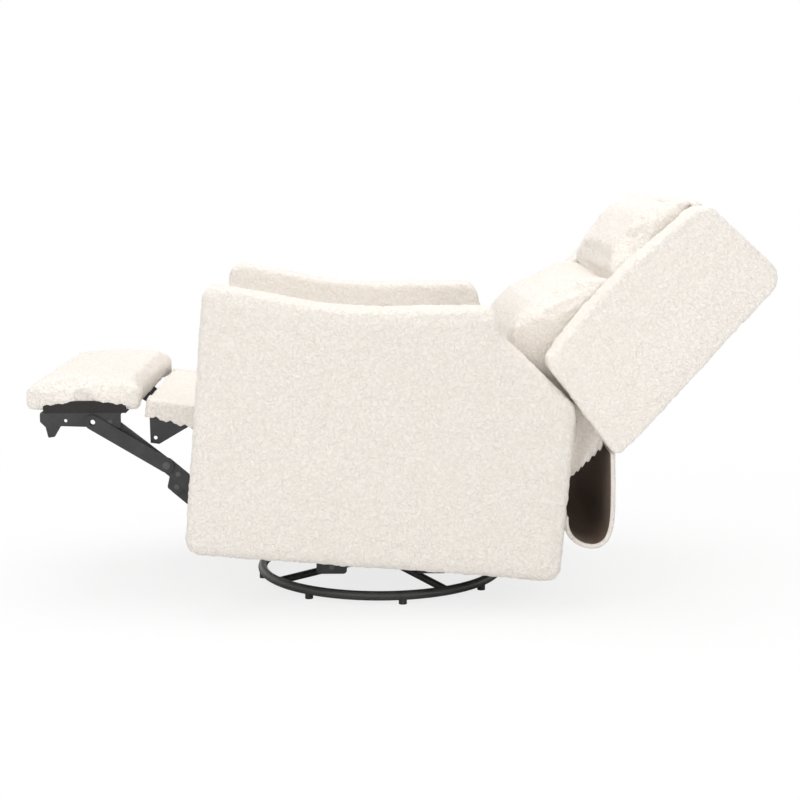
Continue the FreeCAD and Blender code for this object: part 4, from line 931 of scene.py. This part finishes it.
class RECLINER_OT_studio(bpy.types.Operator):
    """Pale floor, soft lamps and the camera"""

    bl_idname = "recliner.studio"
    bl_label = "Studio"

    def execute(self, context):
        scene = context.scene
        settings = scene.recliner_studio
        scene.view_settings.view_transform = "Standard"
        self.floor()
        self.sky(scene, settings.sky)
        self.lamp("key_lamp", (-2.3, -3.0, 3.1), (0.0, 0.0, 0.45), 2.6, settings.key)
        self.lamp("fill_lamp", (2.6, -3.0, 2.2), (0.5, 0.0, 0.7), 2.2, settings.key * 0.46)
        self.lamp("front_lamp", (-0.6, -4.6, 1.1), (0.1, 0.0, 0.5), 3.0, settings.key * 0.12)
        self.lamp("top_lamp", (0.0, 0.4, 3.4), (0.0, 0.0, 0.3), 3.0, settings.top)
        camera = placed("camera", bpy.data.cameras.new("camera"))
        camera.data.lens = settings.lens
        camera.data.sensor_width = 36.0
        camera.location = settings.camera_place
        camera.rotation_euler = (math.pi / 2 - settings.camera_pitch, 0.0, -settings.camera_yaw)
        scene.camera = camera
        return {"FINISHED"}

    def floor(self):
        """A pale floor that grows white to the camera away from the chair."""
        bm = bmesh.new()
        bmesh.ops.create_grid(bm, x_segments=1, y_segments=1, size=40.0)
        floor = show(bm, "floor")
        made, wire, shader, place = new_material("studio_floor")
        shader.inputs["Base Color"].default_value = (0.93, 0.93, 0.93, 1.0)
        shader.inputs["Roughness"].default_value = 0.9
        shader.inputs["Specular IOR Level"].default_value = 0.0
        glow = wire.node("ShaderNodeEmission")
        glow.inputs["Color"].default_value = (1, 1, 1, 1)
        glow.inputs["Strength"].default_value = 1.0
        path = wire.node("ShaderNodeLightPath")
        away = wire.node("ShaderNodeVectorMath", operation="LENGTH")
        wire.put(place, away.inputs[0])
        bright = wire.node("ShaderNodeMapRange")
        wire.put(away.outputs["Value"], bright.inputs["Value"])
        for socket, value in (("From Min", 0.5), ("From Max", 1.9), ("To Min", 0.8), ("To Max", 1.0)):
            bright.inputs[socket].default_value = value
        share = wire.maths("MULTIPLY", path.outputs["Is Camera Ray"], bright.outputs["Result"])
        mix = wire.node("ShaderNodeMixShader")
        wire.put(share, mix.inputs[0])
        wire.put(shader.outputs[0], mix.inputs[1])
        wire.put(glow.outputs[0], mix.inputs[2])
        output = next(node for node in made.node_tree.nodes if node.type == "OUTPUT_MATERIAL")
        wire.put(mix.outputs[0], output.inputs["Surface"])
        floor.data.materials.append(made)

    def sky(self, scene, strength):
        """White to the camera and in reflections, and a soft light for the rest."""
        world = bpy.data.worlds.new("studio")
        scene.world = world
        world.use_nodes = True
        wire = Wiring(world.node_tree)
        background = world.node_tree.nodes["Background"]
        background.inputs["Color"].default_value = (1, 1, 1, 1)
        path = wire.node("ShaderNodeLightPath")
        seen = wire.maths("MAXIMUM", path.outputs["Is Camera Ray"], path.outputs["Is Glossy Ray"])
        wire.put(wire.blend(seen, strength, 1.0, "FLOAT"), background.inputs["Strength"])

    def lamp(self, name, place, target, size, power):
        """A square lamp in metres and watts, turned to its target."""
        light = bpy.data.lights.new(name, "AREA")
        light.size = size
        light.energy = power
        lamp = placed(name, light)
        lamp.location = place
        lamp.rotation_euler = (Vector(target) - Vector(place)).to_track_quat("-Z", "Y").to_euler()


class RECLINER_PT_panel(bpy.types.Panel):
    """Buttons for the recliner's pieces, and their settings"""

    bl_label = "Recliner"
    bl_idname = "RECLINER_PT_panel"
    bl_space_type = "VIEW_3D"
    bl_region_type = "UI"
    bl_category = "Recliner"

    def draw(self, context):
        for operator in OPERATORS:
            self.layout.operator(operator.bl_idname)
        for name in SETTINGS:
            group = getattr(context.scene, name)
            box = self.layout.box()
            for key in group.__annotations__:
                box.prop(group, key)


SETTINGS = {
    "recliner_studio": StudioSettings,
    "recliner_pile": PileSettings,
    "recliner_padding": PaddingSettings,
    "recliner_metal": MetalSettings,
    "recliner_timber": TimberSettings,
}
OPERATORS = [
    RECLINER_OT_studio, RECLINER_OT_metalwork, RECLINER_OT_arms, RECLINER_OT_seat, RECLINER_OT_footrest,
    RECLINER_OT_back, RECLINER_OT_skirt,
]


def register():
    for item in [*SETTINGS.values(), *OPERATORS, RECLINER_PT_panel]:
        bpy.utils.register_class(item)
    for name, group in SETTINGS.items():
        setattr(bpy.types.Scene, name, bpy.props.PointerProperty(type=group))


def unregister():
    for name in SETTINGS:
        delattr(bpy.types.Scene, name)
    for item in reversed([*SETTINGS.values(), *OPERATORS, RECLINER_PT_panel]):
        bpy.utils.unregister_class(item)


def main():
    register()
    bpy.ops.recliner.studio()
    bpy.ops.recliner.metalwork()
    bpy.ops.recliner.arms()
    bpy.ops.recliner.seat()
    bpy.ops.recliner.footrest()
    bpy.ops.recliner.back()
    bpy.ops.recliner.skirt()


if __name__ == "__main__":
    main()
